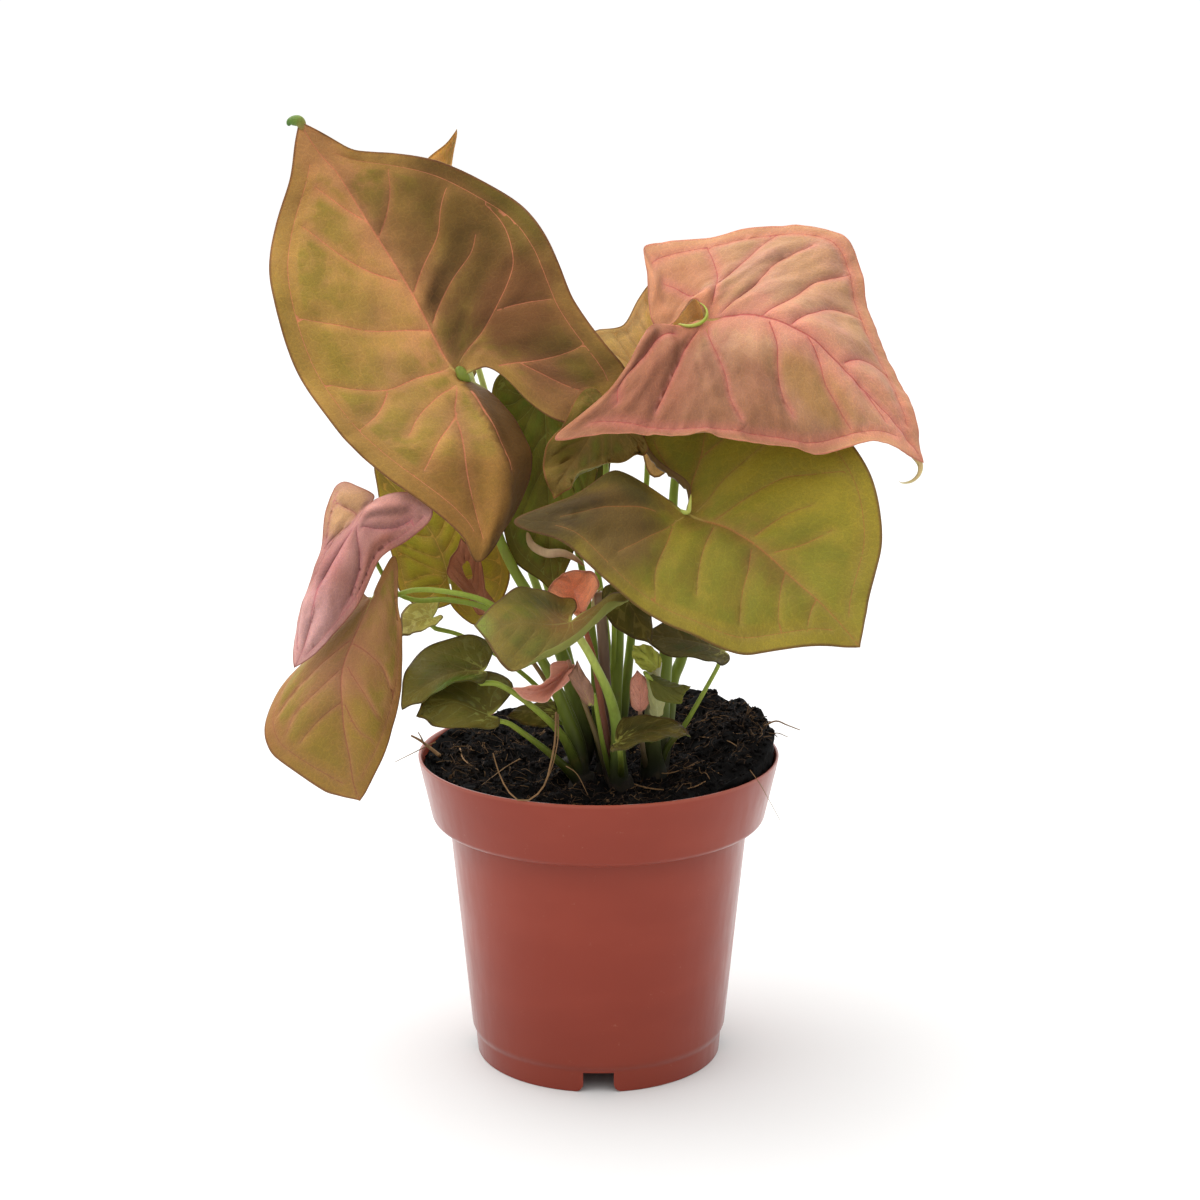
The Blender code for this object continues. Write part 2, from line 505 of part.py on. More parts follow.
def peat_height(x, y):
    """The peat's top: level in front, heaped against the rim on the right and behind."""
    across = x / RIM_RADIUS
    behind = y / RIM_RADIUS
    heap = PEAT_HEAP * max(0.0, min(1.0, 1.15 * across + 0.35 * behind - 0.1)) ** 0.8
    back = PEAT_BACK * max(0.0, behind)
    lumps = PEAT_LUMP * math.sin(190 * x + 1.0) * math.sin(160 * y + 0.5)
    lumps += PEAT_CRUMB * math.sin(330 * x - 270 * y)
    return PEAT_LEVEL + heap + back + lumps


def build_peat(parts, cutters):
    under = FLOOR_Z + GAP
    side = [under, COLLAR_FOOT_Z - WALL, COLLAR_FOOT_Z + SHOULDER]
    edge = inner_radius(PEAT_LEVEL - PEAT_CHAMFER) - GAP
    top = [(edge * ring / PEAT_RINGS, PEAT_LEVEL) for ring in range(PEAT_RINGS)]
    down = [(edge, PEAT_LEVEL)] + [(inner_radius(height) - GAP, height) for height in reversed(side)]
    peat = add_object("soil", profile_mesh("soil", top + down + [(0.0, under)]), parts,
                      new_material("peat", PEAT_COLOUR, 0.95))
    add_screw(peat, POT_SIDES)
    peat.data = baked_mesh(peat)
    peat.modifiers.clear()
    for vert in peat.data.vertices:
        if vert.co.z > PEAT_LEVEL - GAP:
            vert.co.z = peat_height(vert.co.x, vert.co.y)
    for name, (x, y) in CROWNS.items():
        hole = mesh_from(lambda shape: bmesh.ops.create_cone(
            shape, cap_ends=True, segments=CROWN_SIDES, radius1=CROWN_HOLE, radius2=CROWN_HOLE,
            depth=HOLE_HEIGHT), f"hole_{name}")
        cutter = add_object(f"hole_{name}", hole, cutters)
        cutter.location = (x * MM, y * MM, HOLE_MIDDLE)
        add_boolean(peat, cutter, "DIFFERENCE")


def baked_mesh(thing):
    """The object's shape with its modifiers applied, welded into one mesh."""
    depsgraph = bpy.context.view_layer.depsgraph
    depsgraph.update()
    mesh = bpy.data.meshes.new_from_object(thing.evaluated_get(depsgraph))
    shape = bmesh.new()
    shape.from_mesh(mesh)
    bmesh.ops.remove_doubles(shape, verts=shape.verts, dist=0.00001)
    shape.to_mesh(mesh)
    shape.free()
    return mesh


def stalk_mesh(name, route, radii, collection):
    """A six-sided stalk along the route, thick at its foot and thin at the leaf."""
    curve = bpy.data.curves.new(name, "CURVE")
    curve.dimensions = "3D"
    curve.bevel_depth = 1.0
    curve.bevel_resolution = 1
    curve.use_fill_caps = True
    points = smooth_path(route, 2 * len(route) + 1)
    spline = curve.splines.new("POLY")
    spline.points.add(len(points) - 1)
    for index, (knot, point) in enumerate(zip(spline.points, points)):
        share = index / (len(points) - 1)
        knot.co = (*point, 1.0)
        knot.radius = (radii[0] + (radii[1] - radii[0]) * share) * MM
    guide = bpy.data.objects.new(name, curve)
    collection.objects.link(guide)
    mesh = baked_mesh(guide)
    bpy.data.objects.remove(guide)
    return mesh


def stalk_seat(bent, before, radius):
    """Where a stalk ends: just short of the blade's underside, by the heart."""
    seat, ahead, beside = (Vector(point) for point in bent(STALK_SEAT + STALK_SEAT_STEPS))
    normal = (ahead - seat).cross(beside - seat).normalized()
    back = before - seat
    if normal.dot(back) < 0:
        normal.negate()
    slant = normal.cross(back.normalized()).length
    return seat + normal * (BLADE_THICKNESS / 2 + 1.3 * GAP + 1.15 * radius * slant)


def build_shoot(letter, parts, cutters, material):
    """One shoot: its crown in the peat and every stalk that grows from it, in one piece."""
    x, y = (value * MM for value in CROWNS[letter])
    foot = PEAT_LEVEL - CROWN_DEPTH + GAP
    tall = PEAT_LEVEL + CROWN_TOP - foot
    crown = mesh_from(lambda shape: bmesh.ops.create_cone(
        shape, cap_ends=True, segments=CROWN_SIDES, radius1=CROWN_RADIUS,
        radius2=0.8 * CROWN_RADIUS, depth=tall,
        matrix=Matrix.Translation((x, y, foot + tall / 2))), f"shoot_{letter}")
    shoot = add_object(f"shoot_{letter}", crown, parts, material)
    start = Vector((x, y, foot + 0.5 * tall))
    for name, stem in STEMS.items():
        if stem["crown"] != letter:
            continue
        route = [start] + [place(*mark) for mark in stem["route"]]
        if name in LEAVES:
            route.append(stalk_seat(bend_plate(LEAVES[name]), route[-1], stem["radii"][1] * MM))
        stalk = add_object(f"stalk_{name}", stalk_mesh(name, route, stem["radii"], cutters), cutters)
        add_boolean(shoot, stalk, "UNION")


def build_blade(name, marks, parts):
    """A blade: a fan of rings round the heart, bent through its marks and given a thickness."""
    points = FINE_BLADES.get(name, SMALL_MARGIN if name in SMALL_BLADES else PLAIN_MARGIN)
    rings = 3 if name in FINE_BLADES else 2
    margin = blade_margin(points)
    bent = bend_plate(marks)

    def fan(shape):
        bmesh.ops.create_grid(shape, x_segments=points, y_segments=rings, size=0.5)
        for vert in shape.verts:
            around = round((vert.co.x + 0.5) * points) % points
            out = vert.co.y + 0.5
            flat = FAN_CENTRE + (margin[around] - FAN_CENTRE) * out
            vert.co = bent(flat)[0]
        bmesh.ops.remove_doubles(shape, verts=shape.verts, dist=0.00002)
        bmesh.ops.triangulate(shape, faces=shape.faces)
        bmesh.ops.recalc_face_normals(shape, faces=shape.faces)
    blade = add_object(f"leaf_{name}", mesh_from(fan, name), parts,
                       new_material(f"blade_{name}", BLADE_COLOURS[name], 0.45, 0.2))
    shell = blade.modifiers.new("thickness", "SOLIDIFY")
    shell.thickness = BLADE_THICKNESS
    shell.offset = 0.0
    blade.data.shade_smooth()


def clear_scene():
    for thing in list(bpy.data.objects):
        bpy.data.objects.remove(thing)


def main():
    clear_scene()
    parts = bpy.data.collections.new("arrowhead_plant")
    cutters = bpy.data.collections.new("cutters")
    for group in (parts, cutters):
        bpy.context.scene.collection.children.link(group)
    build_pot(parts, cutters)
    build_peat(parts, cutters)
    stalks = new_material("stalk", STEM_COLOUR, 0.4, 0.1)
    for letter in CROWNS:
        build_shoot(letter, parts, cutters, stalks)
    for name, marks in LEAVES.items():
        build_blade(name, marks, parts)


main()
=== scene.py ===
import math
import bpy
import numpy as np
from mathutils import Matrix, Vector
from mathutils.geometry import delaunay_2d_cdt


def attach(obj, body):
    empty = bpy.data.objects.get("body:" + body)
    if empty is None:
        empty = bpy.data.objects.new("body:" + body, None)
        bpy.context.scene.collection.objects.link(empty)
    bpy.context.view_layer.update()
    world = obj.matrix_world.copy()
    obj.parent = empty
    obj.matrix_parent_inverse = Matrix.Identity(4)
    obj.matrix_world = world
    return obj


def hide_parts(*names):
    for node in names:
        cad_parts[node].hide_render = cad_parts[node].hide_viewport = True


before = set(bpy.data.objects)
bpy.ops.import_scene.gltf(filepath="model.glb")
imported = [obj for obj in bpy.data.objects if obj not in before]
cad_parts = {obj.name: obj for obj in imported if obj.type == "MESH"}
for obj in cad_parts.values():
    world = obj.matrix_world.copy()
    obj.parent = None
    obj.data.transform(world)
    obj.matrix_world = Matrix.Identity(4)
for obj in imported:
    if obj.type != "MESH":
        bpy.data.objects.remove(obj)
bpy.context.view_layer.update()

mm = 0.001
scene = bpy.context.scene

# The view that the marks are read in: a mark is a column, a row and a depth in mm behind the pot's axis.
# The focus, the columns and rows are pixels of the picture, the tilt is in radians
view = dict(back=0.8, height=0.34, tilt=0.2265, focus=2497.0, axisColumn=598.5, middleRow=600.0,
            pictureWidth=1200.0, sensorMm=36.0)


def place(column, row, depth):
    across = (column - view["axisColumn"]) / view["focus"]
    rise = (view["middleRow"] - row) / view["focus"]
    cosTilt, sinTilt = math.cos(view["tilt"]), math.sin(view["tilt"])
    ahead = view["back"] + depth * mm
    drop = ahead * (rise * cosTilt - sinTilt) / (cosTilt + rise * sinTilt)
    reach = ahead * cosTilt - drop * sinTilt
    return np.array([across * reach, depth * mm, view["height"] + drop])


def tone(red, green, blue, alpha=1.0):
    def linear(value):
        share = value / 255
        return share / 12.92 if share <= 0.04045 else ((share + 0.055) / 1.055) ** 2.4
    return (linear(red), linear(green), linear(blue), alpha)


def smoothPath(points, count):
    # a smooth curve through the points, read at count places
    knots = np.array(points, float)
    knots = np.vstack([2 * knots[0] - knots[1], knots, 2 * knots[-1] - knots[-2]])
    spans = len(knots) - 3
    at = np.linspace(0, spans, count)
    index = np.minimum(at.astype(int), spans - 1)
    t = (at - index)[:, None]
    a, b, c, d = (knots[index + k] for k in range(4))
    return 0.5 * (2 * b + (c - a) * t + (2 * a - 5 * b + 4 * c - d) * t**2
                  + (3 * b - a - 3 * c + d) * t**3)


def evenSteps(curve, count):
    # the same curve, read at even steps along its length
    lengths = np.linalg.norm(np.diff(curve, axis=0), axis=1)
    travelled = np.concatenate([[0.0], np.cumsum(lengths)])
    at = np.linspace(0, travelled[-1], count)
    return np.stack([np.interp(at, travelled, curve[:, k]) for k in range(curve.shape[1])], axis=1)


def smoothStep(low, high, value):
    t = np.clip((value - low) / (high - low), 0, 1)
    return t * t * (3 - 2 * t)


def softNoise(where, size, seed):
    # smooth random hills and hollows from -1 to 1, about size across, over places of 2 or 3 numbers
    at = np.atleast_2d(where) / size
    cell = np.floor(at).astype(np.int64)
    part = at - cell
    part = part * part * (3 - 2 * part)
    total = np.zeros(len(at))
    for corner in range(2 ** at.shape[1]):
        bits = [(corner >> k) & 1 for k in range(at.shape[1])]
        key = np.full(len(at), seed * 7919 + 17, np.int64)
        weight = np.ones(len(at))
        for k, bit in enumerate(bits):
            key = (key * 31337 + (cell[:, k] + bit) * (73856093 + 19349663 * k)) & 0x7FFFFFFF
            weight = weight * (part[:, k] if bit else 1 - part[:, k])
        key = (key ^ (key >> 13)) * 1274126177 & 0x7FFFFFFF
        key = (key ^ (key >> 16)) & 0xFFFF
        total += weight * (key / 32767.5 - 1)
    return total


def unit(vectors):
    lengths = np.linalg.norm(vectors, axis=-1, keepdims=True)
    return vectors / np.maximum(lengths, 1e-12)


class Flow:
    # a socket that can be written into sums, and that adds the nodes it needs
    def __init__(self, tree, socket=None):
        self.tree = tree
        self.socket = socket

    def node(self, kind, settings=None, sockets=None, out=0):
        made = self.tree.nodes.new(kind)
        for name, value in (settings or {}).items():
            setattr(made, name, value)
        for name, value in (sockets or {}).items():
            self.plug(made.inputs[name], value)
        return Flow(self.tree, made.outputs[out])

    def plug(self, socket, value):
        if isinstance(value, Flow):
            self.tree.links.new(value.socket, socket)
        elif value is not None:
            socket.default_value = value

    def isVector(self, value):
        return isinstance(value, Flow) and value.socket.type in ("VECTOR", "RGBA")

    def maths(self, operation, first, second=None):
        if self.isVector(first) or self.isVector(second):
            def spread(value):
                return value if isinstance(value, Flow) or not np.isscalar(value) else (value,) * 3
            return self.node("ShaderNodeVectorMath", {"operation": operation},
                             {0: spread(first), 1: spread(second)})
        return self.node("ShaderNodeMath", {"operation": operation}, {0: first, 1: second})

    def __add__(self, other):
        return self.maths("ADD", self, other)

    def __radd__(self, other):
        return self.maths("ADD", other, self)

    def __sub__(self, other):
        return self.maths("SUBTRACT", self, other)

    def __rsub__(self, other):
        return self.maths("SUBTRACT", other, self)

    def __mul__(self, other):
        return self.maths("MULTIPLY", self, other)

    def __rmul__(self, other):
        return self.maths("MULTIPLY", other, self)

    def __truediv__(self, other):
        return self.maths("DIVIDE", self, other)

    def __rtruediv__(self, other):
        return self.maths("DIVIDE", other, self)

    def step(self, low, high, fromValue=0.0, toValue=1.0):
        # a soft step between two values
        return self.node("ShaderNodeMapRange", {"interpolation_type": "SMOOTHSTEP"},
                         {"Value": self, "From Min": low, "From Max": high,
                          "To Min": fromValue, "To Max": toValue})

    def mix(self, first, second):
        # this value as the factor between two colours, each a flow or the numbers of a tone
        first, second = (end if isinstance(end, Flow) else tone(*end) for end in (first, second))
        return self.node("ShaderNodeMix", {"data_type": "RGBA"}, {0: self, 6: first, 7: second}, 2)

    def axis(self, index):
        return self.node("ShaderNodeSeparateXYZ", None, {0: self}, index)

    def length(self):
        return self.node("ShaderNodeVectorMath", {"operation": "LENGTH"}, {0: self}, 1)

    def bump(self, strength, reliefMm):
        # this value as a relief in the surface
        return self.node("ShaderNodeBump", None,
                         {"Strength": strength, "Distance": reliefMm * mm, "Height": self})

    def onPiece(self):
        return self.node("ShaderNodeTexCoord", None, None, 3)

    def noise(self, where, scale, detail=3.0, rough=0.55):
        return self.node("ShaderNodeTexNoise", None,
                         {"Vector": where, "Scale": scale, "Detail": detail, "Roughness": rough})

    def attribute(self, name, out=2):
        return self.node("ShaderNodeAttribute", {"attribute_name": name}, None, out)


def newMaterial(name, make, **constants):
    # make(flow) gives what feeds the shader's sockets; constants stay on the sockets
    material = bpy.data.materials.new(name)
    material.use_nodes = True
    tree = material.node_tree
    shader = tree.nodes["Principled BSDF"]
    flow = Flow(tree)
    for socket, value in {**constants, **make(flow)}.items():
        flow.plug(shader.inputs[socket.replace("_", " ")], value)
    return material


def newPiece(name, verts, faces, material, attributes=None, smooth=True):
    # a mesh from arrays: faces is a list of tables, with rows of 3 or of 4 corners
    mesh = bpy.data.meshes.new(name)
    verts = np.asarray(verts, np.float32)
    rows = [np.asarray(part, np.int32) for part in faces]
    corners = np.concatenate([part.ravel() for part in rows])
    sizes = np.concatenate([np.full(len(part), part.shape[1], np.int32) for part in rows])
    starts = np.concatenate([[0], np.cumsum(sizes)[:-1]]).astype(np.int32)
    mesh.vertices.add(len(verts))
    mesh.vertices.foreach_set("co", verts.ravel())
    mesh.loops.add(len(corners))
    mesh.loops.foreach_set("vertex_index", corners)
    mesh.polygons.add(len(sizes))
    mesh.polygons.foreach_set("loop_start", starts)
    mesh.update(calc_edges=True)
    mesh.validate()
    mesh.shade_smooth() if smooth else mesh.shade_flat()
    for key, values in (attributes or {}).items():
        values = np.asarray(values, np.float32)
        kind, field = {1: ("FLOAT", "value"), 2: ("FLOAT_VECTOR", "vector")}[values.ndim]
        layer = mesh.attributes.new(key, kind, "POINT")
        layer.data.foreach_set(field, values.ravel())
    mesh.materials.append(material)
    thing = bpy.data.objects.new(name, mesh)
    scene.collection.objects.link(thing)
    return thing


def addCamera():
    data = bpy.data.cameras.new("camera")
    data.sensor_width = view["sensorMm"]
    data.lens = view["focus"] / view["pictureWidth"] * view["sensorMm"]
    data.shift_x = (view["pictureWidth"] / 2 - view["axisColumn"]) / view["pictureWidth"]
    data.clip_start, data.clip_end = 0.05, 50
    camera = bpy.data.objects.new("camera", data)
    camera.location = (0, -view["back"], view["height"])
    camera.rotation_euler = (math.pi / 2 - view["tilt"], 0, 0)
    scene.collection.objects.link(camera)
    scene.camera = camera


# Studio: light from above and behind like a lit white backdrop, and less from the camera's side
studio = dict(exposure=-0.78, frontLight=0.25, upLight=2.6, backLight=1.3, leftLight=0.9,
              rightLight=0.55, wall=1.8, floorTone=(212, 212, 211), floorSize=6.0,
              lampSpot=(-0.55, 0.0, 1.20), lampAim=(0, 0, 0.16), lampSize=1.3, lampWatts=12.0)


def addRoom():
    world = bpy.data.worlds.new("room")
    world.use_nodes = True
    flow = Flow(world.node_tree)
    way = flow.node("ShaderNodeTexCoord", None, None, 0)
    x, y, z = (way.axis(index) for index in range(3))
    dome = studio["frontLight"] + z.step(-0.1, 1.0, 0.0, studio["upLight"])
    dome = dome + y.step(-0.2, 0.9, 0.0, studio["backLight"]) + x.step(0.2, -0.9, 0.0, studio["leftLight"])
    dome = dome + x.step(0.1, 0.9, 0.0, studio["rightLight"])
    seen = flow.node("ShaderNodeLightPath")
    strength = seen * studio["wall"] + (1 - seen) * dome
    flow.plug(world.node_tree.nodes["Background"].inputs["Strength"], strength)
    flow.plug(world.node_tree.nodes["Background"].inputs["Color"], (1, 1, 1, 1))
    scene.world = world
    scene.view_settings.view_transform = "Standard"
    scene.view_settings.exposure = studio["exposure"]


def addStudio():
    addRoom()
    data = bpy.data.lights.new("key", "AREA")
    data.size = studio["lampSize"]
    data.energy = studio["lampWatts"]
    lamp = bpy.data.objects.new("key", data)
    lamp.location = studio["lampSpot"]
    lamp.rotation_euler = (Vector(studio["lampAim"]) - lamp.location).to_track_quat("-Z", "Y").to_euler()
    scene.collection.objects.link(lamp)
    half = studio["floorSize"] / 2
    corners = [(-half, -half, 0), (half, -half, 0), (half, half, 0), (-half, half, 0)]
    pale = newMaterial("pale_floor", lambda flow: {
        "Base Color": tone(*studio["floorTone"]), "Roughness": 0.8}, Specular_IOR_Level=0.1)
    floor = newPiece("floor", corners, [[(0, 1, 2, 3)]], pale, smooth=False)
    print("studio ready")


addCamera()
addStudio()

# Each blade by the marks that its shape needs: along its midrib, and round each half of its margin
leafMarks = {
    "topLeft": dict(
        midrib=dict(
            heart=(459, 374, -22), veinLow=(420, 308, -16), middle=(381, 243, -10),
            veinHigh=(335, 170, -6), tip=(299, 121, -8)),
        left=dict(
            throat=(491, 388, -27), inner=(537, 448, -34), ear=(507, 528, -41), lobe=(480, 562, -46),
            heel=(464, 540, -46), flank=(392, 481, -44), wide=(325, 416, -36), shoulder=(285, 346, -30),
            slope=(269, 268, -22), neck=(290, 176, -10)),
        right=dict(
            throat=(486, 367, -24), inner=(527, 400, -26), ear=(576, 423, -28), lobe=(618, 402, -30),
            flank=(600, 336, -32), hip=(570, 298, -31), wide=(556, 255, -30), shoulder=(520, 203, -24),
            slope=(440, 161, -16), neck=(352, 149, -8))),
    "topRight": dict(
        midrib=dict(
            heart=(709, 320, -12), veinLow=(754, 315, -16), middle=(815, 341, -24),
            veinHigh=(884, 412, -24), tip=(923, 463, -16)),
        left=dict(
            throat=(697, 301, -10), inner=(673, 320, -12), ear=(651, 318, -9), lobe=(647, 274, 5),
            heel=(645, 246, 15), flank=(712, 236, 20), wide=(842, 234, 18), shoulder=(866, 295, 8),
            slope=(882, 345, -2), cheek=(901, 386, -8), neck=(916, 421, -14)),
        right=dict(
            throat=(686, 325, -14), inner=(650, 327, -20), ear=(607, 391, -40), lobe=(556, 435, -50),
            heel=(580, 438, -51), flank=(640, 445, -51), wide=(710, 444, -51), shoulder=(768, 455, -49),
            slope=(820, 464, -45), neck=(892, 449, -34))),
    "right": dict(
        midrib=dict(
            heart=(689, 515, -40), veinLow=(730, 530, -46), middle=(770, 557, -54),
            veinHigh=(823, 606, -66), tip=(860, 648, -74)),
        left=dict(
            throat=(680, 495, -37), inner=(641, 468, -32), ear=(622, 430, -26), lobe=(645, 402, -22),
            flank=(720, 385, -20), wide=(805, 398, -26), shoulder=(871, 471, -38), slope=(882, 545, -50),
            neck=(867, 612, -66)),
        right=dict(
            throat=(664, 498, -41), inner=(616, 470, -42), ear=(568, 498, -50), lobe=(514, 520, -54),
            heel=(546, 535, -58), flank=(585, 561, -62), wide=(644, 611, -68), shoulder=(692, 636, -72),
            slope=(745, 655, -74), neck=(825, 646, -74))),
    "leftPink": dict(
        midrib=dict(heart=(358, 521, -46), middle=(318, 592, -56), tip=(294, 668, -54)),
        left=dict(
            throat=(366, 507, -44), inner=(388, 494, -41), ear=(418, 494, -40), lobe=(432, 507, -42),
            flank=(404, 543, -44), wide=(378, 562, -47), shoulder=(361, 600, -49), slope=(342, 626, -52),
            neck=(312, 657, -53)),
        right=dict(
            throat=(366, 508, -42), inner=(374, 495, -39), ear=(357, 486, -36), lobe=(343, 482, -33),
            flank=(324, 520, -39), wide=(319, 556, -43), shoulder=(309, 584, -46), slope=(301, 612, -48),
            neck=(293, 650, -52))),
    "leftHanging": dict(
        midrib=dict(
            heart=(371, 600, -44), veinLow=(345, 660, -52), middle=(342, 703, -58),
            veinHigh=(350, 760, -60), tip=(360, 801, -58)),
        left=dict(
            throat=(374, 593, -42), inner=(379, 580, -40), ear=(387, 564, -38), lobe=(394, 556, -37),
            flank=(398, 606, -40), wide=(403, 650, -44), shoulder=(400, 697, -47), slope=(392, 731, -50),
            neck=(372, 781, -56)),
        right=dict(
            throat=(368, 597, -42), inner=(361, 590, -38), ear=(350, 584, -34), lobe=(338, 590, -32),
            flank=(320, 640, -38), wide=(280, 690, -45), shoulder=(264, 728, -50), slope=(275, 757, -52),
            neck=(328, 793, -56))),
    "centre": dict(
        midrib=dict(heart=(570, 622, -56), middle=(524, 622, -66), tip=(474, 626, -70)),
        left=dict(
            throat=(580, 614, -55), inner=(598, 603, -52), ear=(617, 593, -52), lobe=(631, 597, -54),
            heel=(625, 610, -57), flank=(598, 634, -64), wide=(556, 665, -74), shoulder=(522, 677, -79),
            slope=(500, 663, -79), neck=(486, 640, -74)),
        right=dict(
            throat=(572, 617, -52), inner=(575, 611, -46), ear=(577, 605, -38), lobe=(574, 600, -32),
            flank=(556, 595, -38), wide=(535, 588, -46), shoulder=(515, 588, -52), slope=(500, 599, -58),
            neck=(484, 614, -66))),
    "lowLeft": dict(
        midrib=dict(heart=(482, 671, -52), middle=(440, 678, -60), tip=(402, 710, -62)),
        left=dict(
            lobe=(484, 683, -58), flank=(468, 680, -66), wide=(448, 684, -70), slope=(427, 699, -68)),
        right=dict(
            inner=(489, 663, -44), lobe=(493, 646, -34), flank=(470, 635, -34), wide=(436, 643, -38),
            shoulder=(414, 657, -44), slope=(405, 673, -50), neck=(401, 696, -58))),
    "soilLeft": dict(
        midrib=dict(heart=(489, 715, -54), middle=(452, 702, -58), tip=(416, 716, -62)),
        left=dict(
            lobe=(498, 727, -56), flank=(483, 728, -58), wide=(462, 728, -58), slope=(432, 726, -62)),
        right=dict(
            inner=(503, 704, -44), lobe=(514, 686, -32), flank=(487, 671, -38), wide=(452, 677, -46),
            slope=(423, 695, -56))),
    "behindLeft": dict(
        midrib=dict(heart=(448, 576, -12), middle=(424, 522, -4), tip=(374, 464, 4)),
        left=dict(
            inner=(455, 600, -14), lobe=(428, 610, -18), flank=(400, 592, -14), wide=(393, 560, -10)),
        right=dict(
            inner=(450, 603, -11), lobe=(480, 626, -14), flank=(510, 578, -6), wide=(492, 520, 0))),
    "backLeft": dict(
        midrib=dict(heart=(447, 262, 12), middle=(450, 205, 14), tip=(457, 129, 6)),
        left=dict(lobe=(405, 320, 8), wide=(400, 230, 12), slope=(426, 160, 8)),
        right=dict(lobe=(490, 330, 10), wide=(496, 235, 14), slope=(452, 172, 12))),
    "backMid": dict(
        midrib=dict(heart=(640, 375, 6), middle=(662, 325, 12), tip=(676, 258, 20)),
        left=dict(
            lobe=(583, 378, -2), wide=(600, 329, 4), shoulder=(622, 325, 8), slope=(636, 303, 12),
            neck=(655, 277, 16)),
        right=dict(lobe=(651, 476, -6), wide=(705, 372, 10), slope=(700, 300, 20))),
    "middle": dict(
        midrib=dict(heart=(607, 413, -38), middle=(578, 456, -34), tip=(554, 499, -38)),
        left=dict(
            lobe=(646, 441, -34), wide=(620, 468, -36), shoulder=(602, 471, -38), slope=(585, 480, -40),
            neck=(564, 492, -40)),
        right=dict(
            lobe=(594, 388, -36), wide=(560, 430, -38), shoulder=(546, 444, -37), slope=(543, 466, -38),
            neck=(547, 484, -39))),
    "darkMiddle": dict(
        midrib=dict(heart=(545, 396, -15), middle=(549, 505, -18), tip=(556, 596, -20)),
        left=dict(lobe=(590, 392, -18), wide=(594, 490, -22), slope=(575, 548, -21)),
        right=dict(lobe=(503, 372, -11), wide=(497, 480, -14), slope=(513, 560, -18))),
    "darkRight": dict(
        midrib=dict(heart=(618, 588, -40), middle=(634, 612, -44), tip=(652, 645, -48)),
        left=dict(lobe=(622, 560, -34), wide=(645, 580, -37), slope=(652, 615, -42)),
        right=dict(lobe=(604, 588, -44), wide=(607, 618, -48), slope=(628, 636, -50))),
    "lowRight": dict(
        midrib=dict(heart=(723, 651, -30), middle=(685, 640, -36), tip=(641, 634, -42)),
        left=dict(lobe=(728, 663, -38), wide=(700, 659, -44), slope=(662, 653, -46)),
        right=dict(lobe=(740, 640, -20), wide=(702, 610, -22), slope=(675, 615, -30))),
    "yellowLeft": dict(
        midrib=dict(heart=(432, 618, -28), middle=(417, 622, -32), tip=(401, 637, -36)),
        left=dict(lobe=(443, 616, -32), wide=(430, 627, -38), slope=(413, 634, -38)),
        right=dict(lobe=(440, 598, -21), wide=(415, 602, -23), slope=(401, 614, -28))),
    "soilRight": dict(
        midrib=dict(heart=(618, 742, -48), middle=(652, 732, -51), tip=(691, 736, -53)),
        left=dict(lobe=(619, 722, -42), wide=(650, 715, -43), slope=(679, 722, -46)),
        right=dict(lobe=(610, 750, -58), wide=(640, 744, -62), slope=(670, 738, -58))),
    "soilBack": dict(
        midrib=dict(heart=(556, 714, -28), middle=(535, 712, -31), tip=(507, 716, -35)),
        left=dict(lobe=(553, 723, -31), wide=(540, 727, -33), slope=(521, 724, -35)),
        right=dict(lobe=(557, 704, -22), wide=(535, 703, -26), slope=(515, 708, -31))),
    "coralLeaf": dict(
        midrib=dict(heart=(581, 612, -29), middle=(574, 591, -26), tip=(561, 574, -31)),
        left=dict(
            lobe=(576, 616, -30), flank=(567, 607, -31), wide=(552, 598, -32), slope=(550, 585, -32)),
        right=dict(
            lobe=(585, 615, -30), flank=(588, 601, -30), wide=(599, 586, -33), slope=(590, 571, -32),
            neck=(574, 571, -31))),
    "brownLeaf": dict(
        midrib=dict(heart=(485, 609, -22), middle=(467, 571, -24), tip=(461, 538, -29)),
        left=dict(
            lobe=(478, 615, -22), flank=(465, 592, -25), wide=(449, 577, -28), slope=(450, 559, -29)),
        right=dict(
            lobe=(497, 607, -20), flank=(485, 588, -23), wide=(482, 566, -26), slope=(474, 548, -28))),
    "pinkCurl": dict(
        midrib=dict(heart=(571, 666, -40), middle=(548, 686, -44), tip=(512, 688, -50)),
        left=dict(
            lobe=(563, 661, -40), flank=(551, 664, -42), wide=(550, 676, -46), slope=(538, 685, -49)),
        right=dict(
            lobe=(577, 668, -41), flank=(571, 680, -46), wide=(556, 692, -49), slope=(541, 703, -51),
            neck=(522, 697, -51))),
    "pinkLeaf": dict(
        midrib=dict(heart=(640, 710, -34), middle=(640, 692, -36), tip=(637, 670, -38)),
        left=dict(lobe=(634, 709, -33), wide=(630, 695, -35), slope=(631, 679, -37)),
        right=dict(lobe=(645, 709, -33), wide=(650, 694, -35), slope=(645, 677, -37))),
    "tornLeaf": dict(
        midrib=dict(heart=(650, 680, -42), middle=(668, 688, -46), tip=(691, 687, -48)),
        left=dict(lobe=(654, 697, -46), wide=(680, 704, -50)),
        right=dict(lobe=(648, 676, -39), wide=(664, 679, -40))),
    "sheathLeaf": dict(
        midrib=dict(heart=(591, 704, -47), middle=(582, 684, -50), tip=(577, 660, -48)),
        left=dict(lobe=(586, 705, -47), wide=(569, 678, -47)),
        right=dict(lobe=(593, 705, -47), wide=(592, 686, -48))),
    "rearLeft": dict(
        midrib=dict(heart=(442, 306, 34), middle=(420, 350, 50), tip=(392, 420, 76)),
        left=dict(lobe=(490, 300, 30), wide=(478, 370, 44), slope=(446, 410, 64)),
        right=dict(lobe=(405, 250, 30), wide=(362, 300, 50), slope=(352, 360, 64))),
    "rearRight": dict(
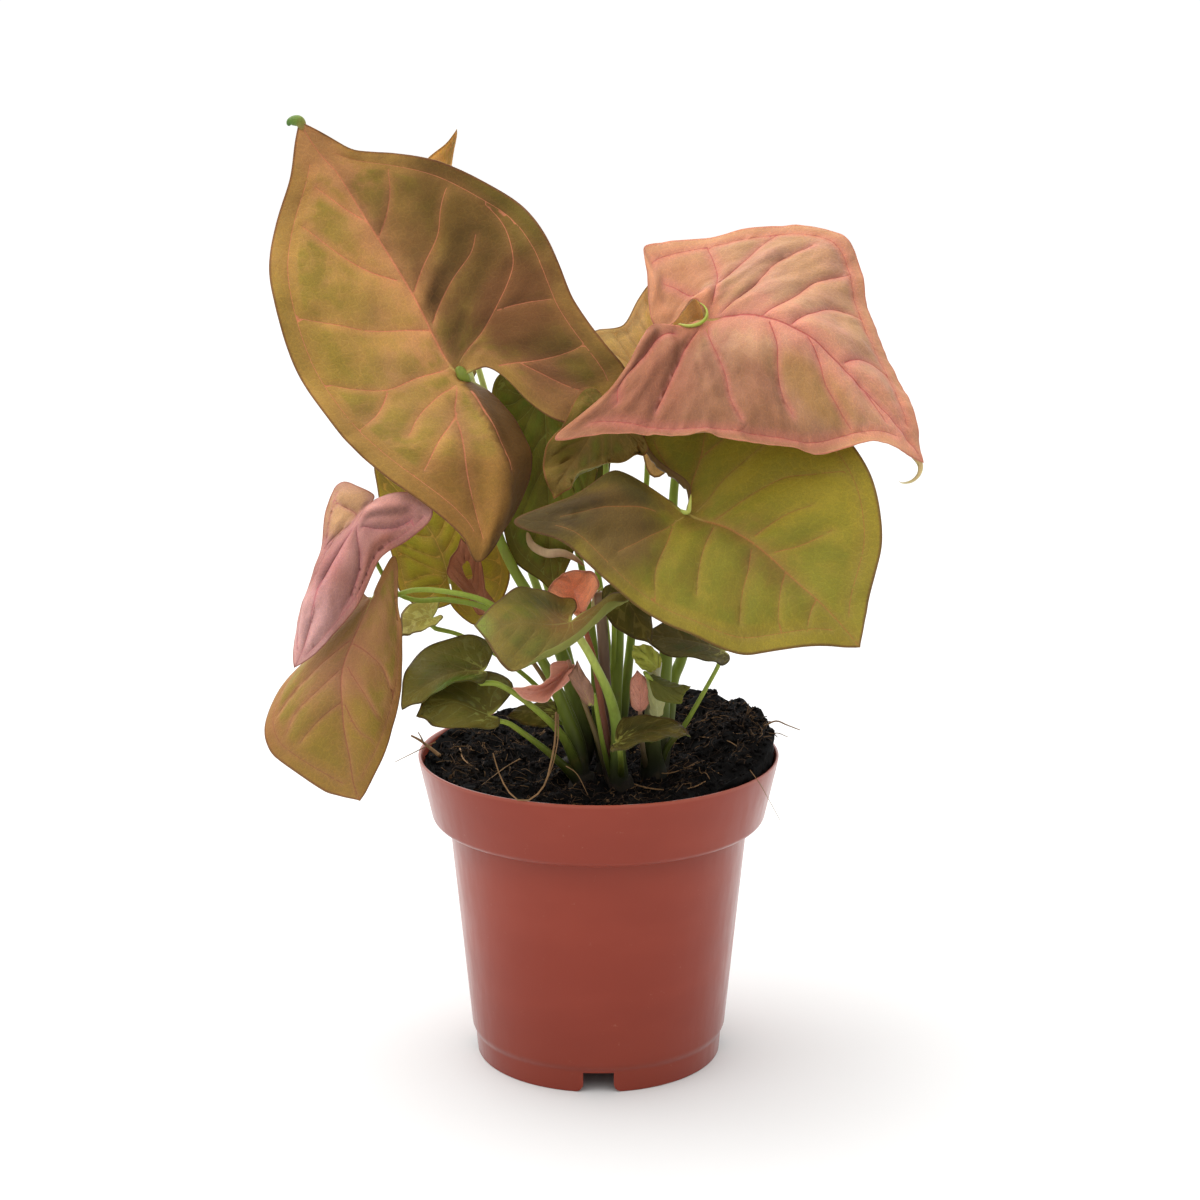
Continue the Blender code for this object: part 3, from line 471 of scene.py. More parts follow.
        midrib=dict(heart=(760, 346, 34), middle=(785, 400, 52), tip=(815, 500, 79.5)),
        left=dict(lobe=(800, 290, 36), wide=(835, 350, 50), slope=(835, 430, 66)),
        right=dict(lobe=(700, 330, 34), wide=(705, 410, 48), slope=(748, 460, 64))),
    "rearMid": dict(
        midrib=dict(heart=(573, 450, 26), middle=(570, 495, 36), tip=(566, 560, 46)),
        left=dict(lobe=(600, 425, 24), wide=(608, 480, 32)),
        right=dict(lobe=(545, 425, 24), wide=(532, 480, 32)))}

# Each shoot: where its crown stands, and its stalks with their radii in mm at the foot and at the leaf
shoots = dict(
    a=dict(
        spotMm=(-5, -28),
        stalks={
            "lowLeft": dict(
                radii=(1.5, 0.9),
                route=[(575, 762, -30), (560, 733, -36), (533, 707, -44), (500, 685, -49)]),
            "soilLeft": dict(
                radii=(1.3, 0.8),
                route=[(572, 774, -31), (548, 752, -36), (523, 733, -41), (505, 722, -46)]),
            "leftHanging": dict(
                radii=(1.8, 0.8),
                route=[
                    (578, 750, -28), (566, 715, -30), (548, 672, -34), (520, 630, -38), (490, 604, -40),
                    (455, 593, -40), (415, 590, -36), (386, 600, -34)]),
            "leftPink": dict(
                radii=(1.5, 0.7),
                route=[
                    (580, 748, -26), (563, 700, -24), (530, 640, -28), (490, 610, -31), (450, 600, -31),
                    (415, 600, -30), (392, 588, -28), (372, 552, -29)]),
            "yellowLeft": dict(
                radii=(1.0, 0.7),
                route=[
                    (576, 750, -24), (558, 712, -14), (530, 680, -12), (492, 652, -16), (460, 635, -22)]),
            "soilBack": dict(radii=(1.0, 0.6), route=[(580, 752, -25), (574, 728, -23)]),
            "brownLeaf": dict(
                radii=(1.0, 0.7), route=[(577, 750, -22), (560, 705, -17), (524, 650, -17)])}),
    b=dict(
        spotMm=(7, -31),
        stalks={
            "centre": dict(
                radii=(2.2, 1.3),
                route=[
                    (618, 762, -33), (617, 728, -36), (609, 695, -42), (592, 659, -50), (579, 637, -53)]),
            "coralLeaf": dict(
                radii=(1.2, 0.9),
                route=[(611, 760, -31), (603, 715, -32), (594, 660, -31), (586, 632, -29)]),
            "oldStem": dict(
                radii=(2.2, 1.8),
                route=[(610, 760, -29), (606, 700, -28), (603, 640, -28), (599, 592, -28)]),
            "pinkCurl": dict(radii=(1.1, 0.6), route=[(606, 765, -30), (596, 735, -31), (580, 692, -31)]),
            "sheathLeaf": dict(radii=(0.9, 0.7), route=[(609, 768, -33), (602, 740, -37)]),
            "soilRight": dict(radii=(1.2, 0.9), route=[(621, 775, -34), (621, 764, -40)])}),
    c=dict(
        spotMm=(19, -22),
        stalks={
            "stump": dict(
                radii=(3.2, 2.3),
                route=[(652, 760, -23), (652, 720, -27), (653, 680, -30), (655, 662, -30)]),
            "topRight": dict(
                radii=(2.2, 1.3),
                route=[
                    (658, 750, -20), (662, 700, -18), (667, 640, -17), (672, 560, -14), (674, 490, -11),
                    (684, 420, -9), (699, 355, -9)]),
            "tornLeaf": dict(radii=(1.2, 0.6), route=[(650, 755, -24), (655, 725, -30), (657, 696, -33)]),
            "pinkLeaf": dict(radii=(1.0, 0.7), route=[(646, 765, -25), (642, 740, -31)]),
            "lowRight": dict(
                radii=(1.0, 0.7),
                route=[(665, 752, -22), (684, 726, -24), (705, 690, -27), (719, 664, -29)]),
            "rearRight": dict(
                radii=(1.8, 1.0),
                route=[
                    (662, 755, -19), (668, 715, -12), (673, 680, -8), (684, 650, -4), (705, 560, 6),
                    (735, 440, 20)])}),
    d=dict(
        spotMm=(3, -15),
        stalks={
            "right": dict(
                radii=(2.1, 1.3),
                route=[
                    (609, 760, -17), (614, 715, -20), (618, 660, -22), (622, 600, -24), (640, 550, -29),
                    (668, 520, -35)]),
            "backMid": dict(
                radii=(1.6, 0.9),
                route=[
                    (614, 762, -14), (622, 715, -11), (630, 650, -8), (636, 580, -4), (642, 520, 0),
                    (647, 475, 3), (646, 420, 5)]),
            "middle": dict(
                radii=(1.5, 0.9),
                route=[
                    (610, 760, -15), (613, 700, -15), (616, 640, -15), (612, 560, -18), (606, 490, -26)]),
            "darkRight": dict(
                radii=(1.2, 0.8), route=[(607, 760, -18), (611, 700, -20), (614, 640, -26)]),
            "darkMiddle": dict(
                radii=(1.5, 0.9),
                route=[
                    (604, 765, -15), (598, 720, -14), (593, 640, -13), (580, 560, -12), (560, 500, -10)]),
            "rearMid": dict(
                radii=(1.4, 0.9),
                route=[(608, 760, -11), (610, 700, -4), (605, 620, 4), (590, 530, 14)])}),
    e=dict(
        spotMm=(-9, -13),
        stalks={
            "topLeft": dict(
                radii=(2.3, 1.4),
                route=[
                    (585, 745, -14), (575, 700, -15), (560, 650, -16), (535, 605, -18), (512, 566, -20),
                    (497, 530, -20), (484, 470, -18), (470, 410, -18)]),
            "behindLeft": dict(
                radii=(1.5, 0.9),
                route=[(576, 752, -12), (560, 705, -9), (535, 650, -7), (500, 612, -7), (470, 590, -8)]),
            "backLeft": dict(
                radii=(1.7, 1.0),
                route=[
                    (582, 748, -11), (574, 690, -6), (558, 620, -1), (530, 530, 4), (500, 440, 8),
                    (470, 340, 12)]),
            "rearLeft": dict(
                radii=(1.7, 1.0),
                route=[(580, 745, -9), (572, 690, 0), (545, 610, 8), (510, 510, 16), (475, 390, 26)])}))

# Where each mark lies on the flat blade, along and out: the heart is at 0 and the tip at 1
markPlaces = dict(
    heart=(0.0, 0.0), veinLow=(0.25, 0.0), middle=(0.5, 0.0), veinHigh=(0.8, 0.0), tip=(1.0, 0.0),
    throat=(-0.13, 0.035), inner=(-0.30, 0.115), ear=(-0.45, 0.225), lobe=(-0.505, 0.315),
    heel=(-0.44, 0.405), flank=(-0.24, 0.475), hip=(-0.06, 0.492), wide=(0.12, 0.493),
    shoulder=(0.38, 0.428), slope=(0.60, 0.308), cheek=(0.74, 0.207), neck=(0.87, 0.105))
halves = dict(midrib=1, left=1, right=-1)  # the side that a part of the blade lies on

# One half of a flat blade, from the notch round to the tip
halfOutline = [(-0.02, 0.0), (-0.13, 0.035), (-0.30, 0.115), (-0.45, 0.225), (-0.505, 0.315),
               (-0.44, 0.405), (-0.24, 0.475), (0.02, 0.50), (0.28, 0.46), (0.52, 0.355),
               (0.72, 0.225), (0.87, 0.105), (0.95, 0.045), (1.0, 0.0)]

# What all blades share: thickness, keel under the midrib, furrows over the veins;
# their relief is tinted a little as if lit along paintLight
paintLight = (-0.50, -0.35, 0.79)
blade = dict(thickMm=0.45, rimThickMm=0.2, keelMm=1.3, keelWidthMm=1.1, ridgeMm=0.28,
             furrowMm=0.16, midribMm=0.5, midribTipMm=0.14, lateralMm=0.27, lateralTipMm=0.11,
             netMm=0.1, veinInset=0.055,
             rowsAway=(-2.4, -1.0, 1.0, 2.4), insetsMm=(0.6, 1.6))

# Where side veins leave the midrib on a plain blade, and how far they sweep on towards the tip
plainStarts = dict(left=(0.03, 0.17, 0.36, 0.53, 0.68, 0.81), right=(0.02, 0.19, 0.33, 0.52, 0.69, 0.82))
plainSweep = 0.19
basalVeins = [[(-0.005, 0.012), (-0.07, 0.13), (-0.19, 0.25), (-0.33, 0.315), (-0.455, 0.32)],
              [(0.0, 0.012), (0.025, 0.15), (-0.01, 0.29), (-0.11, 0.42)],
              [(-0.10, 0.175), (-0.14, 0.29), (-0.24, 0.41)],
              [(-0.08, 0.14), (-0.19, 0.165), (-0.31, 0.19), (-0.40, 0.25)],
              [(-0.26, 0.285), (-0.33, 0.35), (-0.37, 0.385)]]

# Veins of five blades as they are seen, by marks (column, row) from the midrib outwards
veinMarks = {
    "topLeft": dict(
        left=[
            [(452, 366), (420, 378), (388, 390), (355, 390), (330, 386)],
            [(432, 330), (405, 331), (370, 332), (340, 326), (303, 320)],
            [(396, 280), (370, 272), (340, 255), (302, 228)], [(368, 224), (340, 206), (314, 188)],
            [(388, 390), (378, 415), (360, 430)], [(455, 385), (440, 396), (420, 415), (408, 436)],
            [(457, 386), (455, 410), (462, 440), (468, 480), (478, 520), (484, 545)],
            [(456, 412), (440, 440), (424, 470)], [(470, 392), (486, 415), (503, 445), (511, 470)]],
        right=[
            [(460, 362), (480, 335), (500, 300), (513, 265), (507, 232), (486, 205)],
            [(433, 322), (450, 285), (470, 255), (476, 235)],
            [(413, 295), (425, 265), (438, 235), (441, 210), (446, 190)],
            [(380, 237), (387, 215), (390, 190), (388, 172)],
            [(462, 365), (490, 366), (520, 362), (550, 358), (575, 350), (588, 340)],
            [(520, 362), (545, 375), (580, 390)], [(497, 310), (525, 303), (550, 299)]]),
    "topRight": dict(
        left=[
            [(710, 314), (716, 285), (712, 260), (705, 245)],
            [(716, 285), (735, 270), (760, 247), (775, 238)],
            [(722, 313), (750, 290), (775, 264), (812, 246)],
            [(762, 317), (790, 300), (815, 283), (850, 276)],
            [(790, 326), (810, 315), (835, 310), (866, 322)], [(845, 363), (865, 361), (884, 374)],
            [(700, 306), (684, 295), (664, 286)]],
        right=[
            [(706, 324), (715, 350), (725, 375), (731, 400), (741, 420)],
            [(770, 322), (777, 345), (778, 370), (782, 395), (792, 415)],
            [(807, 337), (818, 360), (825, 385), (840, 410), (850, 430)],
            [(850, 372), (870, 400), (885, 422)],
            [(700, 328), (688, 345), (680, 362), (670, 382), (656, 412)],
            [(694, 326), (668, 334), (645, 355), (622, 380), (617, 402)]]),
    "right": dict(
        left=[
            [(690, 510), (691, 490), (700, 458), (706, 430)], [(700, 458), (718, 444), (733, 432)],
            [(697, 512), (720, 485), (745, 460), (764, 446)],
            [(716, 520), (745, 500), (780, 480), (810, 475), (842, 472)],
            [(755, 536), (785, 515), (812, 505)], [(775, 553), (800, 545), (832, 531)],
            [(687, 500), (668, 466), (654, 440)]],
        right=[
            [(676, 520), (668, 540), (656, 570), (655, 594)],
            [(713, 529), (703, 550), (698, 575), (697, 594)],
            [(752, 546), (748, 570), (742, 595), (740, 622)], [(786, 572), (780, 595), (778, 622)],
            [(816, 602), (808, 622), (806, 638)], [(684, 517), (665, 528), (640, 541), (618, 552)],
            [(655, 512), (622, 507), (590, 510), (560, 516)]]),
    "leftPink": dict(
        left=[
            [(362, 527), (376, 529), (396, 528), (412, 520)],
            [(357, 528), (360, 560), (352, 592), (340, 615)]],
        right=[
            [(355, 527), (343, 545), (337, 570), (335, 600), (328, 628)],
            [(350, 527), (333, 543), (322, 570), (318, 600), (310, 635)],
            [(343, 530), (322, 552), (308, 585), (300, 622)], [(357, 517), (345, 508), (334, 500)]]),
    "leftHanging": dict(
        left=[
            [(352, 643), (370, 655), (384, 672), (394, 700)], [(348, 668), (362, 690), (376, 716)],
            [(345, 705), (358, 730), (371, 740)]],
        right=[
            [(350, 640), (322, 664), (296, 690), (279, 714)],
            [(346, 668), (321, 688), (297, 712), (286, 734)], [(343, 702), (320, 720), (301, 742)]])}

# Folds and wrinkles: half of the blade, height and half width in mm, and marks (column, row)
wrinkles = {
    "topLeft": [
        ("left", 1.0, 2.6, [(464, 388), (482, 412), (495, 445), (500, 480), (496, 515), (486, 545)]),
        ("left", -0.8, 2.5, [(460, 400), (470, 430), (478, 470), (478, 510)]),
        ("right", 0.9, 3.0, [(452, 200), (447, 240), (432, 280), (424, 300)]),
        ("right", -0.9, 4.0, [(500, 215), (492, 250), (478, 290), (462, 330)])],
    "topRight": [
        ("right", -0.3, 2.2, [(690, 340), (676, 362), (664, 390), (654, 415)]),
        ("right", 0.5, 2.4, [(699, 342), (704, 368), (712, 392), (722, 412)]),
        ("right", -0.6, 2.0, [(727, 342), (740, 366), (750, 392), (760, 420)]),
        ("right", 0.6, 2.4, [(755, 342), (766, 370), (774, 398), (780, 420)]),
        ("right", -0.5, 2.6, [(792, 372), (806, 400), (822, 425)]),
        ("right", 0.5, 1.6, [(652, 334), (640, 346), (630, 358)]),
        ("right", -0.4, 1.4, [(660, 336), (646, 352), (634, 368)]),
        ("right", -0.4, 2.0, [(640, 380), (625, 400), (612, 420)]),
        ("left", 0.6, 1.8, [(678, 291), (666, 288), (655, 288)]),
        ("left", -0.6, 1.6, [(680, 306), (668, 304), (656, 304)])],
    "leftPink": [
        ("left", 0.8, 1.4, [(368, 512), (384, 507), (402, 507)]),
        ("left", -0.8, 1.2, [(366, 519), (386, 516), (408, 512)]),
        ("left", 0.7, 1.2, [(370, 502), (382, 499), (398, 500)]),
        ("right", 0.7, 1.6, [(347, 532), (332, 556), (322, 588), (314, 615)]),
        ("right", -0.7, 1.5, [(338, 518), (330, 505), (332, 492)])],
    "right": [
        ("right", 0.9, 2.4, [(672, 505), (640, 494), (605, 497), (560, 508)]),
        ("right", -0.8, 3.0, [(672, 530), (640, 530), (605, 535)]),
        ("left", 0.6, 3.0, [(720, 505), (752, 476), (790, 455)])]}


def plateKernel(first, second):
    apart = ((first[:, None] - second[None]) ** 2).sum(axis=-1)
    return 0.5 * apart * np.log(np.maximum(apart, 1e-12))


def bendPlate(marks):
    # a thin springy plate pushed through the marks, as a function from flat places to space
    flat = np.array([np.multiply(markPlaces[name], (1, halves[half])) for half in halves
                     for name in marks[half]])
    space = np.array([place(*mark) for half in halves for mark in marks[half].values()])
    count = len(flat)
    system = np.zeros((count + 3, count + 3))
    system[:count, :count] = plateKernel(flat, flat)
    system[:count, count] = 1
    system[:count, count + 1:] = flat
    system[count:, :count] = system[:count, count:].T
    weights = np.linalg.solve(system, np.vstack([space, np.zeros((3, 3))]))

    def bent(where):
        where = np.atleast_2d(where)
        return (plateKernel(where, flat) @ weights[:count] + weights[count]
                + where @ weights[count + 1:])
    return bent


def bladeAxes(bent, where, step=0.004):
    # on the bent blade: the place, which way is to the tip, and which way is up from the upper side
    where = np.atleast_2d(where)
    here = bent(where)
    along = unit(bent(where + [step, 0]) - bent(where - [step, 0]))
    across = unit(bent(where + [0, step]) - bent(where - [0, step]))
    return here, along, unit(np.cross(along, across))


def bladeLength(bent):
    # along the midrib in mm, and how stout the ribs of a blade of that length are
    spine = bent(np.stack([np.linspace(0, 1, 40), np.zeros(40)], axis=1))
    lengthMm = np.linalg.norm(np.diff(spine, axis=0), axis=1).sum() / mm
    return lengthMm, min(1.0, math.sqrt(lengthMm / 100))


def bladeMargin(count):
    left = evenSteps(smoothPath(halfOutline, 400), count // 2 + 1)
    right = left[::-1][1:-1] * [1, -1]
    return np.vstack([left, right])


marginLine = bladeMargin(600)
marginShare = np.minimum(np.arange(600), 600 - np.arange(600)) / 300


def halfWidth(along):
    left = marginLine[90:301]  # from the back of the lobe to the tip
    return np.interp(along, left[:, 0], left[:, 1])


def project(points):
    # the column and row at which the camera sees each point
    cosTilt, sinTilt = math.cos(view["tilt"]), math.sin(view["tilt"])
    y, z = points[:, 1] + view["back"], points[:, 2] - view["height"]
    ahead = y * cosTilt - z * sinTilt
    rise = y * sinTilt + z * cosTilt
    return np.stack([view["axisColumn"] + view["focus"] * points[:, 0] / ahead,
                     view["middleRow"] - view["focus"] * rise / ahead], axis=1)


def unbend(bent, lines, side):
    # the flat places of marks seen on one half of a bent blade
    grid = np.stack(np.meshgrid(np.linspace(-0.52, 1.0, 305), side * np.linspace(0, 0.51, 103),
                                indexing="ij"), axis=-1).reshape(-1, 2)
    seen = project(bent(grid))
    return [np.array([grid[((seen - mark) ** 2).sum(1).argmin()] for mark in marks]) for marks in lines]


def sideVeins(name, bent, half):
    # the veins of one half of a blade, as lines on the flat blade
    side = halves[half]
    if name in veinMarks:
        return unbend(bent, veinMarks[name][half], side)
    t = np.linspace(0, 1, 7)
    lines = []
    for start in plainStarts[half]:
        end = min(start + plainSweep * (1.05 - 0.45 * start), 0.93)
        reach = halfWidth(end) - blade["veinInset"]
        lines.append(np.stack([start + (end - start) * t**1.3, side * reach * t**0.92], axis=1))
    return lines + [np.array(path) * [1, side] for path in basalVeins]


def veinLines(name, bent, scale):
    # every vein as a line on the flat blade with its half width in mm at both ends
    midrib = np.array([[-0.015, 0.0], [0.3, 0.0], [0.65, 0.0], [0.985, 0.0]])
    lines = [(midrib, blade["midribMm"], blade["midribTipMm"])]
    inward = unit(np.gradient(marginLine, axis=0))[:, ::-1] * [1, -1]
    for half in ("left", "right"):
        lines += [(path, blade["lateralMm"], blade["lateralTipMm"]) for path in sideVeins(name, bent, half)]
        line = marginLine + inward * blade["veinInset"] * 0.9
        keep = (line[:, 1] * halves[half] > 0.02) & (marginShare > 0.30) & (marginShare < 0.955)
        line = line[keep]
        lines.append((line[np.argsort(marginShare[keep])][::8], blade["netMm"], blade["netMm"]))
    made = []
    for path, wide, fine in lines:
        path = evenSteps(smoothPath(path, 60), 28)
        clear = nearMargin(path)[0] > 0.75 * blade["veinInset"]
        if wide == blade["lateralMm"] and clear.sum() > 8:
            path = evenSteps(path[clear], 28)
        made.append((path, wide * scale, fine * scale))
    return made


def nearLines(points, lines):
    # for each point: how far the nearest line is; and for the line that is nearest for its width,
    # that line's half width there and how many of them away it is
    best = np.full(len(points), 9.0)
    width = np.ones(len(points))
    ratio = np.full(len(points), 1e9)
    for path, wide, fine in lines:
        a, b = path[:-1], path[1:]
        run = b - a
        length = (run ** 2).sum(1)
        t = np.clip(((points[:, None] - a) * run).sum(-1) / length, 0, 1)
        gap = np.linalg.norm(points[:, None] - a - t[..., None] * run, axis=-1)
        index = gap.argmin(1)
        rows = np.arange(len(points))
        share = (index + t[rows, index]) / len(run)
        half = wide + (fine - wide) * share
        gap = gap[rows, index]
        nearer = gap / half < ratio
        ratio[nearer], width[nearer] = (gap / half)[nearer], half[nearer]
        best = np.minimum(best, gap)
    return best, width, ratio


def nearMargin(points):
    # distance to the margin, the way out to it, and how far round it that is from notch to tip
    gap = np.linalg.norm(points[:, None] - marginLine[None], axis=-1)
    index = gap.argmin(1)
    a = marginLine[index]
    nextOne = marginLine[(index + 1) % len(marginLine)]
    lastOne = marginLine[index - 1]
    best = gap[np.arange(len(points)), index]
    for other in (nextOne, lastOne):
        run = other - a
        t = np.clip(((points - a) * run).sum(1) / (run ** 2).sum(1), 0, 1)
        best = np.minimum(best, np.linalg.norm(points - a - t[:, None] * run, axis=1))
    tangent = unit(nextOne - lastOne)
    outward = np.stack([-tangent[:, 1], tangent[:, 0]], axis=1)
    return best, outward, marginShare[index]


def flatSheet(lines, lengthMm, spacingMm, holes):
    # a triangle net on the flat blade, with rows of points along the veins and the margin
    step = spacingMm / lengthMm
    perimeter = np.linalg.norm(np.diff(marginLine, axis=0), axis=1).sum()
    count = 2 * int(perimeter / step / 0.8 / 2)
    margin = bladeMargin(count)
    edges, total = [], 0
    for ring in [margin, *holes]:
        edges += [(total + k, total + (k + 1) % len(ring)) for k in range(len(ring))]
        total += len(ring)
    rows = []
    for path, wide, fine in lines:
        length = np.linalg.norm(np.diff(path, axis=0), axis=1).sum()
        line = evenSteps(path, max(4, int(length / step / 0.75)))
        side = unit(np.gradient(line, axis=0))[:, ::-1] * [1, -1]
        half = np.linspace(wide, fine, len(line))[:, None] / lengthMm
        rows.append(line)
        rows += [line + side * half * away for away in blade["rowsAway"]]
    rows += [margin - nearMargin(margin)[1] * inset / lengthMm for inset in blade["insetsMm"]]
    kept = [np.vstack([margin, *holes])]
    grain = 0.28 * step
    seen = {tuple(key) for key in np.round(kept[0] / grain).astype(int)}
    fresh = np.vstack(rows)
    for point, gap in zip(fresh, nearMargin(fresh)[0]):
        key = tuple(np.round(point / grain).astype(int))
        if key not in seen and gap > 0.3 / lengthMm:
            seen.add(key)
            kept.append(point[None])
    fixed = np.vstack(kept)
    xs = np.arange(-0.52, 1.0, step)
    ys = np.arange(-0.52, 0.52, step * 0.866)
    grid = np.stack(np.meshgrid(xs, ys, indexing="ij"), -1)
    grid[:, 1::2, 0] += step / 2
    grid = grid.reshape(-1, 2)
    taken = {tuple(cell) for cell in np.floor(fixed / step).astype(int)}
    free = [tuple(cell) not in taken for cell in np.floor(grid / step).astype(int)]
    made = delaunay_2d_cdt([Vector(p) for p in np.vstack([fixed, grid[free]])], edges, [], 1, 1e-7)
    flat = np.array([tuple(p) for p in made[0]])
    faces = np.array([face for face in made[2] if len(face) == 3])
    centre = flat[faces].mean(1)
    for hole in holes:
        middle = hole.mean(0)
        reach = np.linalg.norm(hole - middle, axis=1).min()
        faces = faces[np.linalg.norm(centre - middle, axis=1) > reach]
        centre = flat[faces].mean(1)
    used, back = np.unique(faces, return_inverse=True)
    flat, faces = flat[used], back.reshape(faces.shape)
    b, c = (flat[faces[:, k]] - flat[faces[:, 0]] for k in (1, 2))
    turned = b[:, 0] * c[:, 1] - b[:, 1] * c[:, 0] < 0
    faces[turned] = faces[turned][:, ::-1]
    return flat, faces


def openEdges(faces):
    # edges that belong to one triangle only, in the triangle's own direction
    pairs = np.vstack([faces[:, [0, 1]], faces[:, [1, 2]], faces[:, [2, 0]]])
    keys = np.sort(pairs, axis=1)
    _, first, counts = np.unique(keys, axis=0, return_index=True, return_counts=True)
    return pairs[first[counts == 1]]


def vertexNormals(points, faces):
    a, b, c = (points[faces[:, k]] for k in range(3))
    face = np.cross(b - a, c - a)
    normals = np.zeros_like(points)
    for k in range(3):
        np.add.at(normals, faces[:, k], face)
    return unit(normals)


def rollMargin(points, flat, gap, outward, share, bent, lengthMm, roll):
    # bends a strip along a stretch of the margin up or under, round a curve of bendMm, then straight;
    # a slanted strip keeps its width as seen from above
    side = halves[roll["side"]]
    along = smoothStep(roll["start"], roll["start"] + roll["fade"], share)
    along = along * (1 - smoothStep(roll["end"] - roll["fade"], roll["end"], share))
    width = roll["widthMm"] / lengthMm * np.sqrt(along)
    pick = (flat[:, 1] * side > -0.001) & (gap < width)
    # how strongly the bent strip is painted in shade, by the roll's shade
    strip = smoothStep(0.0, 0.15, along) * smoothStep(0.0, 1.4 / lengthMm, width - gap) * pick
    strip = strip * roll.get("shade", 0.0)
    if not pick.any():
        return points, strip
    depth = (width[pick] - gap[pick])[:, None]
    root = flat[pick] - outward[pick] * depth
    here, _, up = bladeAxes(bent, root)
    out = unit(bent(root + outward[pick] * 0.004) - here)
    arc = depth * lengthMm * mm
    bend = roll.get("bendMm", roll["widthMm"]) * mm
    turn = math.radians(abs(roll["turn"]))
    radius = bend / turn
    angle = np.minimum(arc, bend) / radius
    rest = np.maximum(arc - bend, 0)
    ahead = radius * np.sin(angle) + rest * math.cos(turn)
    rise = radius * (1 - np.cos(angle)) + rest * math.sin(turn)
    if roll.get("slanted"):
        rise, ahead = rise * arc / np.maximum(ahead, 1e-6), arc
    points = points.copy()
    points[pick] = here + out * ahead + up * np.sign(roll["turn"]) * rise
    return points, strip


def bladeHoles(plan):
    turn = np.linspace(0, 2 * np.pi, 24, endpoint=False)
    cos, sin = np.cos(turn), np.sin(turn)
    return [hole["centre"] + hole["size"] * np.stack([cos, hole["flatness"] * sin], axis=1)
            for hole in plan["holes"]]


def bladeRelief(name, plan, bent, lengthMm, spread, edge, share, far):
    # how far each point rises in mm: quilting between veins, creases, a wavy margin, wrinkles
    puff = 1 - np.exp(-far / plan["quiltWideMm"])
    rise = plan["quiltMm"] * puff * smoothStep(0, 6, edge)
    rise += plan["creaseMm"] * softNoise(spread, plan["creaseWideMm"], plan["seed"]) * (0.3 + 0.7 * puff)
    rise += 0.3 * plan["creaseMm"] * softNoise(spread, plan["creaseWideMm"] / 2.6, plan["seed"] + 5)
    wave = np.sin(share * plan["waves"] * 2 * np.pi + plan["seed"] + np.sign(spread[:, 1]))
    wave = wave * (0.6 + 0.4 * softNoise(spread, 30, plan["seed"] + 9))
    rise += plan["waveMm"] * wave * np.exp(-edge / plan["waveWideMm"])
    for half, highMm, wideMm, marks in wrinkles.get(name, ()):
        path = evenSteps(smoothPath(unbend(bent, [marks], halves[half])[0], 40), 24)
        away = nearLines(spread, [(path * lengthMm, 1.0, 1.0)])[0]
        rise += highMm * np.exp(-(away / wideMm) ** 2)
    return rise * (1 - np.exp(-(spread ** 2).sum(1) / plan["seatMm"] ** 2))


def bladeDepths(flat, lengthMm, scale, edge, width, ratio):
    # how far the upper and the under side lie from the middle of the blade in mm
    half = blade["rimThickMm"] + (blade["thickMm"] - blade["rimThickMm"]) * smoothStep(0, 2.0, edge)
    inside = smoothStep(0, 1.5, edge)
    ridge = np.exp(-(ratio / 2.0) ** 2) * np.minimum(1, width / blade["lateralMm"])
    middle = np.exp(-(flat[:, 1] * lengthMm / blade["keelWidthMm"] / scale) ** 2)
    middle *= np.clip(1 - flat[:, 0], 0, 1) ** 0.7 * smoothStep(-0.05, 0.0, flat[:, 0])
    furrow = blade["furrowMm"] * scale * ridge * inside
    under = half / 2 + scale * (blade["ridgeMm"] * ridge + blade["keelMm"] * middle) * inside
    return half / 2 - furrow, under


